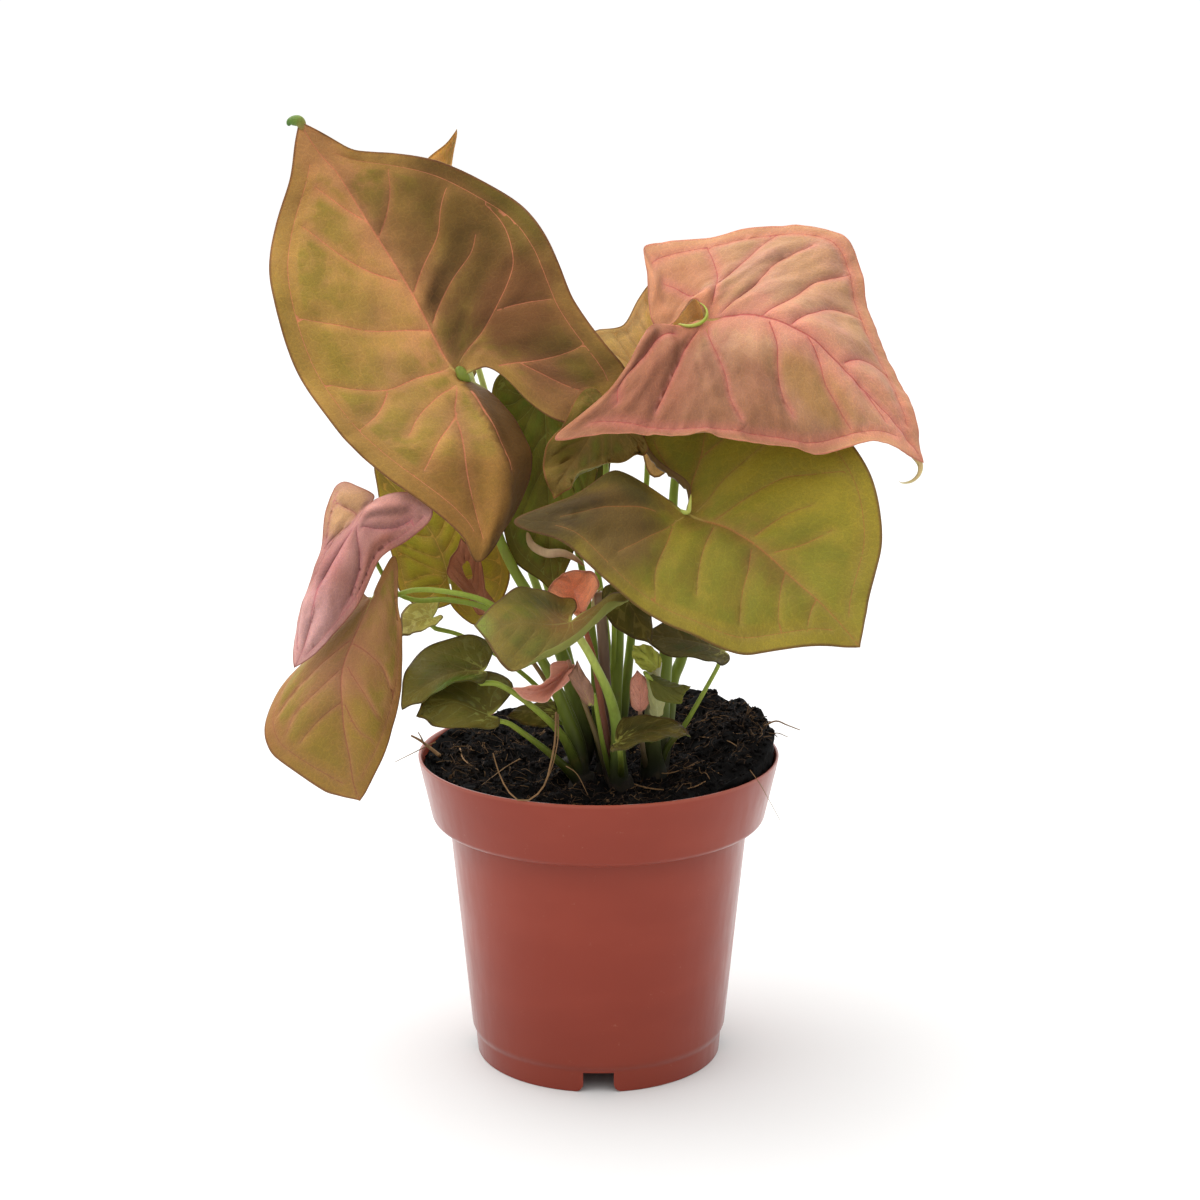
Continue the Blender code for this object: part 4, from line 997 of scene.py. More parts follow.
def addBlade(name, marks, plan):
    # one blade: flat net, bent through its marks, rolled, given its relief and then its two sides
    plan = {**plainBlade, **plan}
    bent = bendPlate(marks)
    lengthMm, scale = bladeLength(bent)
    lines = veinLines(name, bent, scale)
    flat, faces = flatSheet(lines, lengthMm, plan["spacingMm"], bladeHoles(plan))
    gap, outward, share = nearMargin(flat)
    spread, edge = flat * lengthMm, gap * lengthMm
    far, width, ratio = nearLines(spread, [(path * lengthMm, wide, fine) for path, wide, fine in lines])

    # the painted shade of the bent margin strips is gathered here
    points, foldShade = bent(flat), np.zeros(len(flat))
    for roll in plan["rolls"]:
        points, strip = rollMargin(points, flat, gap, outward, share, bent, lengthMm, roll)
        foldShade = np.maximum(foldShade, strip)
    plain = vertexNormals(points, faces)
    rise = bladeRelief(name, plan, bent, lengthMm, spread, edge, share, far)
    points = points + plain * rise[:, None] * mm
    normals = vertexNormals(points, faces)
    # painted light and shade for the relief: lean, how far each place turns to paintLight; lift, how high
    # it stands, for darker hollows and lighter ridges
    lean = np.clip((normals - plain) @ unit(np.array(paintLight)), -0.5, 0.5)
    lift = np.clip((rise - np.median(rise)) / (plan["quiltMm"] + plan["creaseMm"]), -1.5, 1.5)

    over, under = bladeDepths(flat, lengthMm, scale, edge, width, ratio)
    verts = np.vstack([points + normals * (over * mm)[:, None], points - normals * (under * mm)[:, None]])
    count = len(points)
    border = openEdges(faces)
    walls = np.stack([border[:, 1], border[:, 0], border[:, 0] + count, border[:, 1] + count], axis=1)
    shape = [np.vstack([faces, faces[:, ::-1] + count]), walls]
    upper = dict(rib=np.minimum(ratio, 60), far=np.minimum(far, 30), rim=np.minimum(edge, 40),
                 under=np.zeros(count), lean=lean, lift=lift, foldShade=foldShade,
                 spread=np.column_stack([spread, np.full(count, plan["seed"] * 10.0)]),
                 share=np.column_stack([flat, np.zeros(count)]))
    lower = dict(upper, under=np.ones(count), lean=-0.5 * lean, lift=0 * lift, foldShade=0 * foldShade)
    piece = newPiece("blade_" + nodeName(name), verts, shape, bladeMaterial(name, plan, lengthMm),
                     {key: np.concatenate([upper[key], lower[key]]) for key in upper})
    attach(piece, "root")
    if name in leafMarks:
        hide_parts("leaf_" + nodeName(name))
    return len(verts)


def nodeName(name):
    return "".join("_" + letter.lower() if letter.isupper() else letter for letter in name)


def bladeMaterial(name, plan, lengthMm):
    look = {**plainLook, **plan["look"]}

    def make(flow):
        # spread is the place on the flat blade in mm, so the scales of its noises are per mm
        spread = flow.attribute("spread", 1)
        share = flow.attribute("share", 1)
        rib, far = flow.attribute("rib"), flow.attribute("far")
        rim, under = flow.attribute("rim"), flow.attribute("under")
        forward, aside = share.axis(0), share.axis(1)
        outside = flow.maths("ABSOLUTE", aside)
        cloud = flow.noise(spread, 0.06, 2.0)
        patch = flow.noise(spread, 0.15, 3.0)
        grain = flow.noise(spread, 1.7, 2.0, 0.7)
        speck = flow.noise(spread, 5.5, 1.0, 0.5)
        base = cloud.step(0.36, 0.64).mix(look["main"], look["second"])
        middle = outside + 0.25 * (patch - 0.5)
        base = middle.step(0.0, look["blushWide"], look["blush"], 0.0).mix(base, look["blushTone"])
        inner = rim.step(look["bandMm"], look["bandMm"] + 1.6)
        fading = rim.step(look["bandMm"] + 3, look["bandMm"] + look["greenMm"], 1.0, 0.25)
        green = inner * fading * far.step(0.2, 3.0) * patch.step(0.32, 0.62, 0.25, 1.0) * look["green"]
        base = green.mix(base, look["greenTone"])
        base = ((1 - inner) * look["band"]).mix(base, look["bandTone"])
        # patches of the leaf's own tint, and of painted shade and painted highlight
        for along, out, reachAlong, reachOut, amount, colour in look["shadeAndTintSpots"]:
            apart = (share - (along, out, 0)) / (reachAlong, reachOut, 1)
            near = (apart.length() + 0.5 * (patch - 0.5)).step(1.0, 0.35, 0.0, amount)
            base = near.mix(base, colour)
        # painted shade on the bent margin strips
        base = flow.attribute("foldShade").mix(base, look["foldShadeTone"])
        halo = far.step(0.0, look["haloMm"], look["halo"], 0.0)
        base = halo.mix(base, look["haloTone"])
        net = flow.node("ShaderNodeTexVoronoi", {"feature": "DISTANCE_TO_EDGE"},
                        {"Vector": spread + 0.6 * flow.noise(spread, 0.5, 1.0), "Scale": 0.42})
        line = rib.step(0.5, 1.4, look["line"], 0.0)
        base = line.mix(base, look["vein"])
        base = rim.step(0.2, 0.8, look["rimAmount"], 0.0).mix(base, look["rimTone"])
        ribs = flow.maths("MAXIMUM", line, rim.step(0.6, 1.5, 1.0, 0.0))
        nearHeart = (share.length() * lengthMm).step(2.5, 9.0, look["heart"], 0.0)
        base = (ribs * nearHeart).mix(base, look["heartTone"])
        base = grain.step(0.44, 0.66, 0.0, look["grain"]).mix(base, base * (1.2, 1.17, 1.0))
        base = speck.step(0.50, 0.34, 0.0, look["grain"]).mix(base, base * (0.76, 0.64, 0.62))
        # painted light and shade: lean lightens relief turned to paintLight and darkens relief turned from
        # it; lift darkens hollows and lightens ridges; the fine vein net is the leaf's own colour
        light = 1 + flow.attribute("lean") * look["lean"] + flow.attribute("lift") * look["lift"]
        light = light + net.step(0.02, 0.12, look["net"], 0.0)
        # painted shade and light of the midrib fold: the right half darkens beside the midrib, the left
        # half lightens a little
        beside = outside.step(0.04, look["midribShadeWide"], 1.0, 0.0) * forward.step(0.95, 0.6)
        shadedHalf = aside.step(0.003, -0.007, -0.25, 1.0) * beside * forward.step(-0.05, 0.05)
        base = base * (light - shadedHalf * look["fold"])
        below = (under * look["underAmount"]).mix(base, look["underTone"])
        height = grain * 0.35 + net.step(0.0, 0.16) * 0.5 - line * 0.8
        return {"Base Color": below, "Normal": height.bump(look["bump"], 0.2),
                "Roughness": look["rough"] + 0.12 * grain}
    return newMaterial("blade_" + nodeName(name), make, Subsurface_Weight=look["glow"],
                       Subsurface_Radius=(1.0, 0.7, 0.35), Subsurface_Scale=0.0012,
                       Specular_IOR_Level=look["shine"])


# What a blade has unless its own entry says otherwise; seed is set for each.
# A roll bends the margin by turn degrees between two shares of the way from the notch to the tip; its shade
# paints the bent strip darker, as painted shade.
# A spot is a row: along, out, reach along, reach out, amount, tone; spots tint patches: some the leaf's own
# tint, others painted shade and painted highlights where the blade turns from or to the light
# fold darkens one half of the blade beside the midrib, as painted shade where the blade folds from the
# light
plainBlade = dict(spacingMm=2.0, quiltMm=0.6, quiltWideMm=4.0, creaseMm=0.4, creaseWideMm=14.0,
                  waveMm=0.5, waveWideMm=4.0, waves=5, seatMm=9.0, rolls=(), holes=(), seed=1,
                  slot="blade_olive")
plainLook = dict(main=(118, 108, 42), second=(104, 92, 36), greenTone=(96, 104, 30), green=0.6,
                 greenMm=22.0, bandMm=3.6, band=0.3, bandTone=(134, 112, 52), blush=0.3,
                 blushWide=0.16, blushTone=(128, 98, 56), shadeAndTintSpots=(), vein=(160, 128, 78), line=0.6,
                 halo=0.2, haloMm=1.6, haloTone=(134, 108, 60), net=0.08, rimTone=(78, 52, 38),
                 rimAmount=0.8, grain=0.75, underTone=(128, 132, 78), underAmount=0.65, rough=0.46,
                 glow=0.2, shine=0.12, bump=0.5, lean=0.9, lift=0.07, fold=0.0, midribShadeWide=0.3,
                 foldShadeTone=(96, 72, 38), heart=0.7, heartTone=(160, 164, 82))
darkLook = dict(main=(80, 76, 26), second=(66, 62, 20), greenTone=(66, 76, 22), vein=(106, 96, 46),
                haloTone=(88, 78, 34), bandTone=(92, 80, 34), blushTone=(92, 72, 34),
                underTone=(84, 98, 46), rimTone=(56, 44, 26), rough=0.42, shine=0.07, grain=0.5)
youngLook = dict(green=0.0, band=0.0)

blades = {
    "topLeft": dict(
        seed=3, slot="blade_tan", spacingMm=1.5, quiltMm=0.9, quiltWideMm=6.0, creaseMm=0.8, waveMm=0.9,
        rolls=[
            dict(
                side="left", start=-0.03, end=0.235, fade=0.15, widthMm=12.5, turn=-46, bendMm=1.2,
                slanted=True, shade=1.0)],
        look=dict(
            main=(168, 130, 72), second=(158, 118, 74), greenTone=(122, 110, 38), green=0.75,
            greenMm=26.0, bandMm=6.0, band=0.6, bandTone=(144, 116, 54), blush=0.65, blushWide=0.17,
            blushTone=(176, 124, 84), halo=0.15, haloMm=2.6, haloTone=(168, 114, 74), lean=1.4, lift=0.09,
            fold=0.3, vein=(190, 118, 86), line=0.75, rimTone=(98, 62, 44), foldShadeTone=(90, 64, 32),
            shadeAndTintSpots=[
                (0.34, -0.33, 0.68, 0.32, 0.92, (96, 72, 34)),
                (0.42, -0.42, 0.42, 0.1, 0.7, (96, 84, 32)),
                (-0.02, -0.32, 0.36, 0.24, 0.8, (102, 66, 40)),
                (-0.28, -0.36, 0.2, 0.2, 0.6, (88, 70, 32)), (0.45, 0.38, 0.5, 0.13, 0.5, (136, 114, 46)),
                (-0.26, 0.16, 0.2, 0.07, 0.6, (118, 100, 36)), (0.08, -0.1, 0.18, 0.1, 0.5, (84, 60, 30)),
                (0.32, -0.09, 0.28, 0.08, 0.5, (110, 78, 42)),
                (-0.33, -0.24, 0.2, 0.12, 0.6, (128, 84, 60)),
                (0.52, -0.1, 0.16, 0.1, 0.5, (150, 112, 64)),
                (-0.36, 0.32, 0.26, 0.22, 0.75, (116, 80, 38)),
                (0.88, 0.0, 0.2, 0.1, 0.5, (170, 122, 84))])),
    "topRight": dict(
        seed=5, slot="blade_salmon", spacingMm=1.5, quiltMm=1.6, quiltWideMm=5.0, creaseMm=0.85,
        creaseWideMm=7.5, waveMm=0.6, seatMm=6.0,
        rolls=[dict(side="right", start=0.3, end=0.95, fade=0.12, widthMm=4.0, turn=55, bendMm=3.0)],
        look=dict(
            main=(172, 132, 102), second=(168, 125, 104), greenTone=(148, 113, 64), green=0.35, band=0.35,
            bandMm=5.0, bandTone=(186, 124, 78), blush=0.6, blushTone=(190, 122, 104), vein=(164, 80, 76),
            line=0.8, halo=0.4, haloMm=3.0, haloTone=(184, 108, 98), rimTone=(170, 104, 84), rough=0.5,
            underTone=(176, 138, 98), lift=0.1,
            shadeAndTintSpots=[
                (0.1, -0.34, 0.8, 0.3, 0.8, (128, 84, 60)),
                (-0.25, -0.28, 0.36, 0.3, 0.75, (130, 80, 60)),
                (-0.08, -0.1, 0.16, 0.12, 0.75, (134, 82, 62)),
                (-0.3, 0.26, 0.26, 0.2, 0.6, (164, 106, 72)),
                (0.55, -0.14, 0.25, 0.1, 0.6, (140, 106, 52))])),
    "right": dict(
        seed=7, spacingMm=1.5, quiltMm=1.3, quiltWideMm=5.0, creaseMm=0.7, waveMm=0.6,
        rolls=[dict(side="left", start=0.0, end=0.27, fade=0.08, widthMm=4.0, turn=125, bendMm=2.2)],
        look=dict(
            main=(130, 116, 38), second=(118, 104, 34), greenTone=(104, 104, 28), green=0.7, greenMm=40.0,
            bandMm=5.0, band=0.15, bandTone=(128, 114, 40), underTone=(86, 60, 34), underAmount=0.85,
            blush=0.45, blushWide=0.1, blushTone=(128, 92, 46), vein=(148, 94, 52), rimTone=(92, 66, 42),
            fold=0.18, midribShadeWide=0.13,
            shadeAndTintSpots=[
                (-0.2, -0.28, 0.34, 0.3, 0.9, (90, 68, 36)),
                (-0.48, -0.32, 0.24, 0.2, 0.85, (62, 48, 30)),
                (-0.28, -0.14, 0.24, 0.09, 0.75, (70, 64, 28)),
                (0.2, 0.3, 0.45, 0.25, 0.6, (152, 136, 42)),
                (0.8, 0.05, 0.3, 0.2, 0.5, (120, 114, 34))])),
    "leftPink": dict(
        seed=9, slot="blade_pink", spacingMm=1.4, quiltMm=1.5, quiltWideMm=3.5, creaseMm=0.6, waveMm=0.4,
        look=dict(
            main=(163, 117, 113), second=(150, 102, 98), greenTone=(178, 142, 98), lean=0.85, lift=0.1,
            heart=0.0,
            shadeAndTintSpots=[
                (-0.24, -0.3, 0.34, 0.26, 0.8, (176, 140, 98)),
                (0.8, 0.0, 0.5, 0.4, 0.8, (200, 156, 154)), (0.1, 0.42, 0.5, 0.1, 0.6, (150, 92, 76))],
            green=0.1, band=0.2, bandTone=(188, 146, 126), blushTone=(168, 104, 108), vein=(170, 96, 100),
            halo=0.3, haloTone=(174, 114, 116), rimTone=(140, 88, 76), rough=0.5, underTone=(100, 54, 40),
            underAmount=0.9)),
    "leftHanging": dict(
        seed=11, slot="blade_tan", spacingMm=1.5, quiltWideMm=5.0, creaseMm=0.5,
        look=dict(
            main=(164, 118, 83), second=(152, 112, 70), greenTone=(132, 114, 50), green=0.85, bandMm=4.5,
            band=0.5, bandTone=(146, 108, 60), lean=0.65, blush=0.5, blushTone=(152, 102, 80),
            vein=(136, 76, 62), fold=0.16, halo=0.3, haloTone=(160, 112, 80), rimTone=(110, 74, 50),
            shadeAndTintSpots=[
                (0.75, 0.0, 0.4, 0.5, 0.6, (138, 114, 44)), (0.1, 0.0, 0.4, 0.4, 0.55, (132, 94, 62))])),
    "centre": dict(
        seed=13, spacingMm=1.2, quiltMm=0.5, creaseMm=0.35,
        rolls=[dict(side="left", start=0.25, end=0.73, fade=0.11, widthMm=4.5, turn=150, bendMm=3.2)],
        look=dict(
            main=(100, 94, 38), second=(92, 86, 34), greenTone=(86, 93, 34), vein=(106, 98, 52), line=0.4,
            halo=0.1, blushTone=(112, 84, 46), underTone=(114, 116, 56), underAmount=0.95,
            shadeAndTintSpots=[
                (0.0, 0.0, 0.4, 0.4, 0.6, (116, 78, 44)), (0.3, -0.34, 0.6, 0.2, 0.7, (72, 70, 30)),
                (1.0, 0.0, 0.3, 0.2, 0.7, (110, 130, 54))])),
    "lowLeft": dict(
        seed=15, slot="blade_dark",
        look=dict(
            darkLook, shadeAndTintSpots=[(0.15, 0.34, 0.62, 0.3, 0.85, (60, 80, 16))], vein=(96, 96, 52), line=0.4,
            halo=0.1, fold=0.18)),
    "soilLeft": dict(
        seed=17, slot="blade_dark",
        look=dict(
            darkLook, main=(110, 102, 42), second=(92, 86, 34), vein=(122, 122, 70), line=0.45,
            haloTone=(96, 94, 46))),
    "behindLeft": dict(
        seed=19,
        look=dict(
            main=(168, 150, 52), second=(150, 138, 42), greenTone=(140, 144, 40), vein=(196, 156, 70),
            halo=0.3, glow=0.4)),
    # backLeft and backMid: main tones painted light, as if lit through from behind
    "backLeft": dict(
        seed=21,
        look=dict(
            main=(232, 188, 122), second=(216, 178, 104), greenTone=(200, 178, 88), vein=(196, 150, 100),
            glow=0.5)),
    "backMid": dict(
        seed=23,
        look=dict(
            main=(222, 194, 144), second=(208, 184, 128), greenTone=(196, 176, 92), vein=(196, 160, 96),
            glow=0.5)),
    "middle": dict(
        seed=25,
        look=dict(main=(98, 80, 26), second=(84, 72, 20), rimTone=(120, 74, 44), vein=(122, 94, 44)),
        rolls=[dict(side="left", start=0.35, end=0.9, fade=0.1, widthMm=3.5, turn=120)]),
    "darkMiddle": dict(
        seed=27, slot="blade_dark",
        look=dict(
            darkLook, main=(108, 104, 36), second=(92, 90, 30), greenTone=(84, 100, 30),
            vein=(116, 120, 56))),
    "darkRight": dict(seed=29, slot="blade_dark", look=darkLook),
    "lowRight": dict(seed=31, slot="blade_dark", look=darkLook),
    "yellowLeft": dict(
        seed=33,
        look=dict(
            main=(176, 172, 84), second=(160, 156, 66), greenTone=(150, 156, 60), vein=(188, 180, 104))),
    "soilRight": dict(
        seed=35, slot="blade_dark", look=dict(darkLook, main=(68, 62, 22), second=(56, 52, 18))),
    "soilBack": dict(seed=37, slot="blade_dark", look=darkLook),
    "coralLeaf": dict(
        seed=39, slot="blade_coral", spacingMm=0.9,
        look=dict(
            youngLook, main=(250, 170, 128), second=(238, 152, 112), blushTone=(210, 124, 90), blush=0.6,
            blushWide=0.35, shine=0.4, rough=0.3, vein=(206, 134, 104), heart=0.0,
            haloTone=(190, 108, 80), rimTone=(130, 68, 48), underTone=(214, 140, 110))),
    "brownLeaf": dict(
        seed=41, slot="blade_coral", spacingMm=0.9,
        holes=[dict(centre=(0.5, -0.01), size=0.13, flatness=0.9)],
        look=dict(
            youngLook, main=(164, 108, 82), second=(142, 88, 62), blushTone=(170, 116, 92),
            vein=(160, 104, 72), haloTone=(140, 84, 58), rimTone=(96, 54, 38), underTone=(150, 104, 64))),
    "pinkCurl": dict(
        seed=43, slot="blade_pink", spacingMm=0.9,
        look=dict(
            youngLook, main=(204, 146, 130), second=(184, 124, 106), blushTone=(190, 128, 112),
            vein=(206, 160, 142), heart=0.0, haloTone=(190, 134, 120), rimTone=(214, 172, 154),
            underTone=(204, 136, 116))),
    "pinkLeaf": dict(
        seed=45, slot="blade_pink", spacingMm=0.9,
        look=dict(
            youngLook, main=(216, 158, 140), second=(198, 138, 118), blushTone=(204, 140, 122),
            vein=(150, 84, 74), heart=0.0, haloTone=(186, 120, 106), rimTone=(150, 96, 80))),
    "tornLeaf": dict(
        seed=47, spacingMm=1.0, waveMm=0.9, waves=9, creaseMm=0.6,
        look=dict(
            main=(104, 118, 40), second=(70, 70, 28), greenTone=(80, 96, 24), vein=(120, 120, 56),
            rimTone=(116, 128, 52), heart=0.0, underTone=(82, 84, 32), underAmount=0.8,
            shadeAndTintSpots=[(0.5, 0.1, 0.4, 0.3, 0.8, (58, 44, 28))])),
    "sheathLeaf": dict(
        seed=49, slot="blade_pink", spacingMm=0.9,
        look=dict(
            youngLook, main=(156, 122, 106), second=(132, 100, 84), blushTone=(150, 116, 100),
            vein=(150, 110, 86), haloTone=(140, 98, 76), rimTone=(96, 64, 50))),
    "rearLeft": dict(seed=51, look=dict(main=(120, 108, 42), second=(108, 98, 36))),
    "rearRight": dict(seed=53, look=dict(main=(132, 112, 48), second=(118, 100, 40))),
    "rearMid": dict(seed=55, slot="blade_dark", look=darkLook)}


def addBlades():
    total = 0
    for name, marks in leafMarks.items():
        total += addBlade(name, marks, blades[name])
    print("blades:", len(leafMarks), "with", total, "points")


addBlades()

# Stalks: how much each widens to a sheath at its foot and to a knee under the blade, how thin it
# ends inside the blade, and the tone of each from its foot to the blade
stalk = dict(sides=14, stepMm=1.6, furrow=0.12, sheath=0.55, sheathShare=0.22,
             knee=0.12, kneeAt=0.93, kneeShare=0.035, thinned=0.7, thinnedFrom=0.965,
             blotchTone=(120, 92, 56), footShadeTone=(30, 25, 18))
plainStalk = ((88, 98, 36), (126, 142, 50), (148, 162, 66))
stalkTones = {
    "centre": ((88, 104, 42), (140, 160, 68), (184, 190, 96)),
    "coralLeaf": ((96, 62, 50), (130, 78, 56), (170, 96, 66)),
    "oldStem": ((70, 48, 42), (92, 66, 58), (128, 104, 78)),
    "stump": ((64, 72, 34), (94, 102, 52), (176, 172, 136)),
    "pinkCurl": ((96, 92, 52), (130, 110, 70), (170, 120, 100)),
    "pinkLeaf": ((110, 104, 64), (150, 130, 96), (168, 116, 98)),
    "brownLeaf": ((110, 104, 56), (130, 104, 60), (140, 92, 62)),
    "backLeft": ((88, 98, 36), (150, 164, 70), (206, 208, 136)),
    "rearLeft": ((88, 98, 36), (150, 162, 80), (200, 202, 140)),
}
# the crown's tones are nearly black, as painted shade at the foot of the shoots
crown = dict(radiusMm=5.0, topZ=0.105, footZ=0.0923, sides=28, rings=12,
             tones=((22, 18, 14), (28, 23, 16), (36, 32, 20)))
stalkShade = dict(lowZ=0.101, highZ=0.133, dark=0.08)  # stalks darken towards the peat


def frames(path):
    # unit vectors across a path, turning with it and never round it
    ahead = unit(np.gradient(path, axis=0))
    side = np.zeros_like(path)
    first = np.cross(ahead[0], (0.0, 1.0, 0.13))
    side[0] = unit(first)
    for k in range(1, len(path)):
        turned = side[k - 1] - ahead[k] * (side[k - 1] @ ahead[k])
        side[k] = unit(turned)
    return side, np.cross(ahead, side)


def ringFaces(rings, sides):
    # the faces of a closed skin over rings of corners, which its first and last point follow
    k = np.arange(rings - 1)[:, None] * sides
    j = np.arange(sides)[None]
    n = (j + 1) % sides
    quads = np.stack([k + j, k + n, k + sides + n, k + sides + j], axis=-1).reshape(-1, 4)
    first, last = rings * sides, (rings - 1) * sides
    caps = [(first, (i + 1) % sides, i) for i in range(sides)]
    caps += [(first + 1, last + i, last + (i + 1) % sides) for i in range(sides)]
    return quads, np.array(caps)


def tube(path, radii, sides, section=None):
    # a closed tube along the path; section(angle, share) scales its radius
    side, up = frames(path)
    angle = np.linspace(0, 2 * np.pi, sides, endpoint=False)
    share = np.linspace(0, 1, len(path))
    size = np.repeat(np.asarray(radii)[:, None], sides, axis=1)
    if section:
        size = size * section(angle[None], share[:, None])
    ring = (np.cos(angle)[None, :, None] * side[:, None] + np.sin(angle)[None, :, None] * up[:, None])
    verts = (path[:, None] + ring * size[..., None]).reshape(-1, 3)
    return np.vstack([verts, path[0], path[-1]]), *ringFaces(len(path), sides)


def joinParts(parts):
    # several tubes as one mesh
    verts, quads, caps, total = [], [], [], 0
    for shape in parts:
        verts.append(shape[0])
        quads.append(shape[1] + total)
        caps.append(shape[2] + total)
        total += len(shape[0])
    return np.vstack(verts), [np.vstack(quads), np.vstack(caps)]


def tubeTones(tones, share, sides):
    # the tone of each corner of a tube, from three tones along it
    parts = np.array([tone(*colour)[:3] for colour in tones])
    rings = np.stack([np.interp(share, (0.0, 0.45, 1.0), parts[:, k]) for k in range(3)], axis=-1)
    return np.vstack([np.repeat(rings, sides, axis=0), rings[0], rings[-1]])


def stalkPath(name, plan, x, y):
    # from inside the crown, through the marks, to the underside of the blade at its heart
    start = np.array([x, y, (crown["footZ"] + crown["topZ"]) / 2])
    route = [start] + [place(*mark) for mark in plan["route"]]
    foot, tip = plan["radii"]
    if name in leafMarks:
        bent = bendPlate(leafMarks[name])
        scale = bladeLength(bent)[1]
        here, _, up = bladeAxes(bent, [[-0.015, 0.0], [0.0, 0.0], [0.05, 0.0], [0.11, 0.0]])
        # how deep under the blade's upper side the stalk comes up to its heart and along its midrib
        deep = np.array([tip + 3.2, tip + 0.9, tip * 0.8 + 0.5, 0.9 * scale])[:, None] * mm
        route += list(here - up * deep)
    length = np.linalg.norm(np.diff(np.array(route), axis=0), axis=1).sum() / mm
    path = evenSteps(smoothPath(route, 240), max(12, int(length / stalk["stepMm"])))
    share = np.linspace(0, 1, len(path))
    radii = (foot + (tip - foot) * smoothStep(0.0, 0.8, share)) * mm
    radii = radii * (1 + stalk["sheath"] * np.exp(-(share / stalk["sheathShare"]) ** 2))
    if name in leafMarks:
        radii = radii * (1 + stalk["knee"] * np.exp(-((share - stalk["kneeAt"]) / stalk["kneeShare"]) ** 2))
        radii = radii * (1 - stalk["thinned"] * smoothStep(stalk["thinnedFrom"], 1.0, share))
    return path, radii, share


def stalkShape(name, plan, x, y):
    # a stalk with a furrow along it: its mesh, and the tone and the share of its length at each corner
    path, radii, share = stalkPath(name, plan, x, y)

    def section(angle, along):
        return 1 - stalk["furrow"] * np.exp(-((angle - np.pi / 2) / 0.5) ** 2) * smoothStep(0, 0.2, along)
    verts, quads, caps = tube(path, radii, stalk["sides"], section)
    light = smoothStep(stalkShade["lowZ"], stalkShade["highZ"], verts[:, 2])
    tones = tubeTones(stalkTones.get(name, plainStalk), share, stalk["sides"])
    tones = tones * (stalkShade["dark"] + (1 - stalkShade["dark"]) * light)[:, None]
    return verts, quads, caps, tones, np.concatenate([np.repeat(share, stalk["sides"]), [0, 1]])


def addShoots():
    green = stalkMaterial()
    for letter, shoot in shoots.items():
        x, y = np.multiply(shoot["spotMm"], mm)
        parts = [stalkShape(name, plan, x, y) for name, plan in shoot["stalks"].items()]
        parts.append(crownShape(letter, x, y))
        verts, faces = joinParts(parts)
        piece = newPiece(f"stalks_{letter}", verts, faces, green,
                         {"tone": np.vstack([part[3] for part in parts]),
                          "reach": np.concatenate([part[4] for part in parts])})
        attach(piece, "root")
        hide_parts(f"shoot_{letter}")
    print("shoots:", len(shoots))


def crownShape(letter, x, y):
    # the short swollen stem that the stalks of a shoot sheathe
    height = np.linspace(crown["footZ"], crown["topZ"], crown["rings"])
    path = np.stack([np.full_like(height, x), np.full_like(height, y), height], axis=1)
    share = np.linspace(0, 1, len(height))
    radii = crown["radiusMm"] * mm * (1 - 0.35 * share ** 3)
    seed = ord(letter)

    def section(angle, along):
        return 1 + 0.07 * np.sin(5 * angle + seed) + 0.05 * np.sin(9 * angle + 2 * seed + 3 * along)
    shape = tube(path, radii, crown["sides"], section)
    return *shape, tubeTones(crown["tones"], share, crown["sides"]), np.zeros(len(shape[0]))


def stalkMaterial(name="stalk_skin"):
    def make(flow):
        tint = flow.attribute("tone", 1)
        reach = flow.attribute("reach")
        where = flow.onPiece()
        streak = flow.noise(where * (1.0, 1.0, 0.12), 900.0, 2.0)
        blotch = flow.noise(where, 160.0, 3.0)
        base = tint * (0.78 + 0.44 * streak)
        base = (blotch.step(0.55, 0.75) * 0.25).mix(base, stalk["blotchTone"])
        # painted shade: each stalk darkens at its foot, where it enters the crown
        low = reach.step(0.0, 0.2, 0.85, 0.0)
        base = low.mix(base, stalk["footShadeTone"])
        return {"Base Color": base, "Normal": streak.bump(0.35, 0.2),
                "Roughness": 0.32 + 0.2 * blotch + 0.55 * low}
    return newMaterial(name, make, Subsurface_Weight=0.2, Subsurface_Radius=(0.8, 1.0, 0.3),
                       Subsurface_Scale=0.0012, Specular_IOR_Level=0.22)


addShoots()

# Peat: its height as in the model, then clods, crumbs, fibres and old roots over it;
# heapsMm has a row for each heap: how far right and back it stands, its width and its height
peat = dict(level=0.101, heapMm=9.0, backMm=3.0, lumpMm=1.2, rippleMm=0.8, rimRadius=0.060, clearMm=0.3,
            rings=88, spokes=300, clodMm=1.5, clodWideMm=7.0, gritMm=0.55, gritWideMm=2.2,
            heapsMm=[(49, -2, 9, 3.5), (46, 14, 10, 2.5), (36, 34, 10, 1.5)],
            brimDrops=(0.2, 0.4, 0.6, 0.8), brimFoot=0.100, brimLoose=0.108, dentMm=1.6, dentRadiusMm=57,
            wallHeights=(0.096, 0.0905, 0.084, 0.0808, 0.045, 0.0085), seed=61,
            crumbs=4300, crumbMm=(0.25, 1.25), crumbRadius=0.0578, crumbRough=(0.6, 1.4),
            crumbFlat=(0.5, 1.15), crumbLift=0.2,
            fibres=1300, fibreMm=(2, 9), fibreThickMm=(0.06, 0.17), fibreLiftMm=(-0.2, 1.3),
            fibreRadius=0.053, fibreEndRadius=0.0555,
            tufts=320, tuftMm=(2.4, 6.5), tuftThickMm=(0.12, 0.4), tuftTurn=(-0.5, 2.0),
            tuftDroop=(0.2, 1.2), tuftSinkMm=0.8, tuftRadius=0.056, tuftEndRadius=0.0645,
            tones=((4, 4, 4), (15, 12, 11)), fleckTone=(52, 40, 34),
            crumbTones=((6, 5, 5), (18, 14, 13)), barkTone=(112, 84, 60),
            rootTones=((34, 23, 17), (148, 114, 78)))
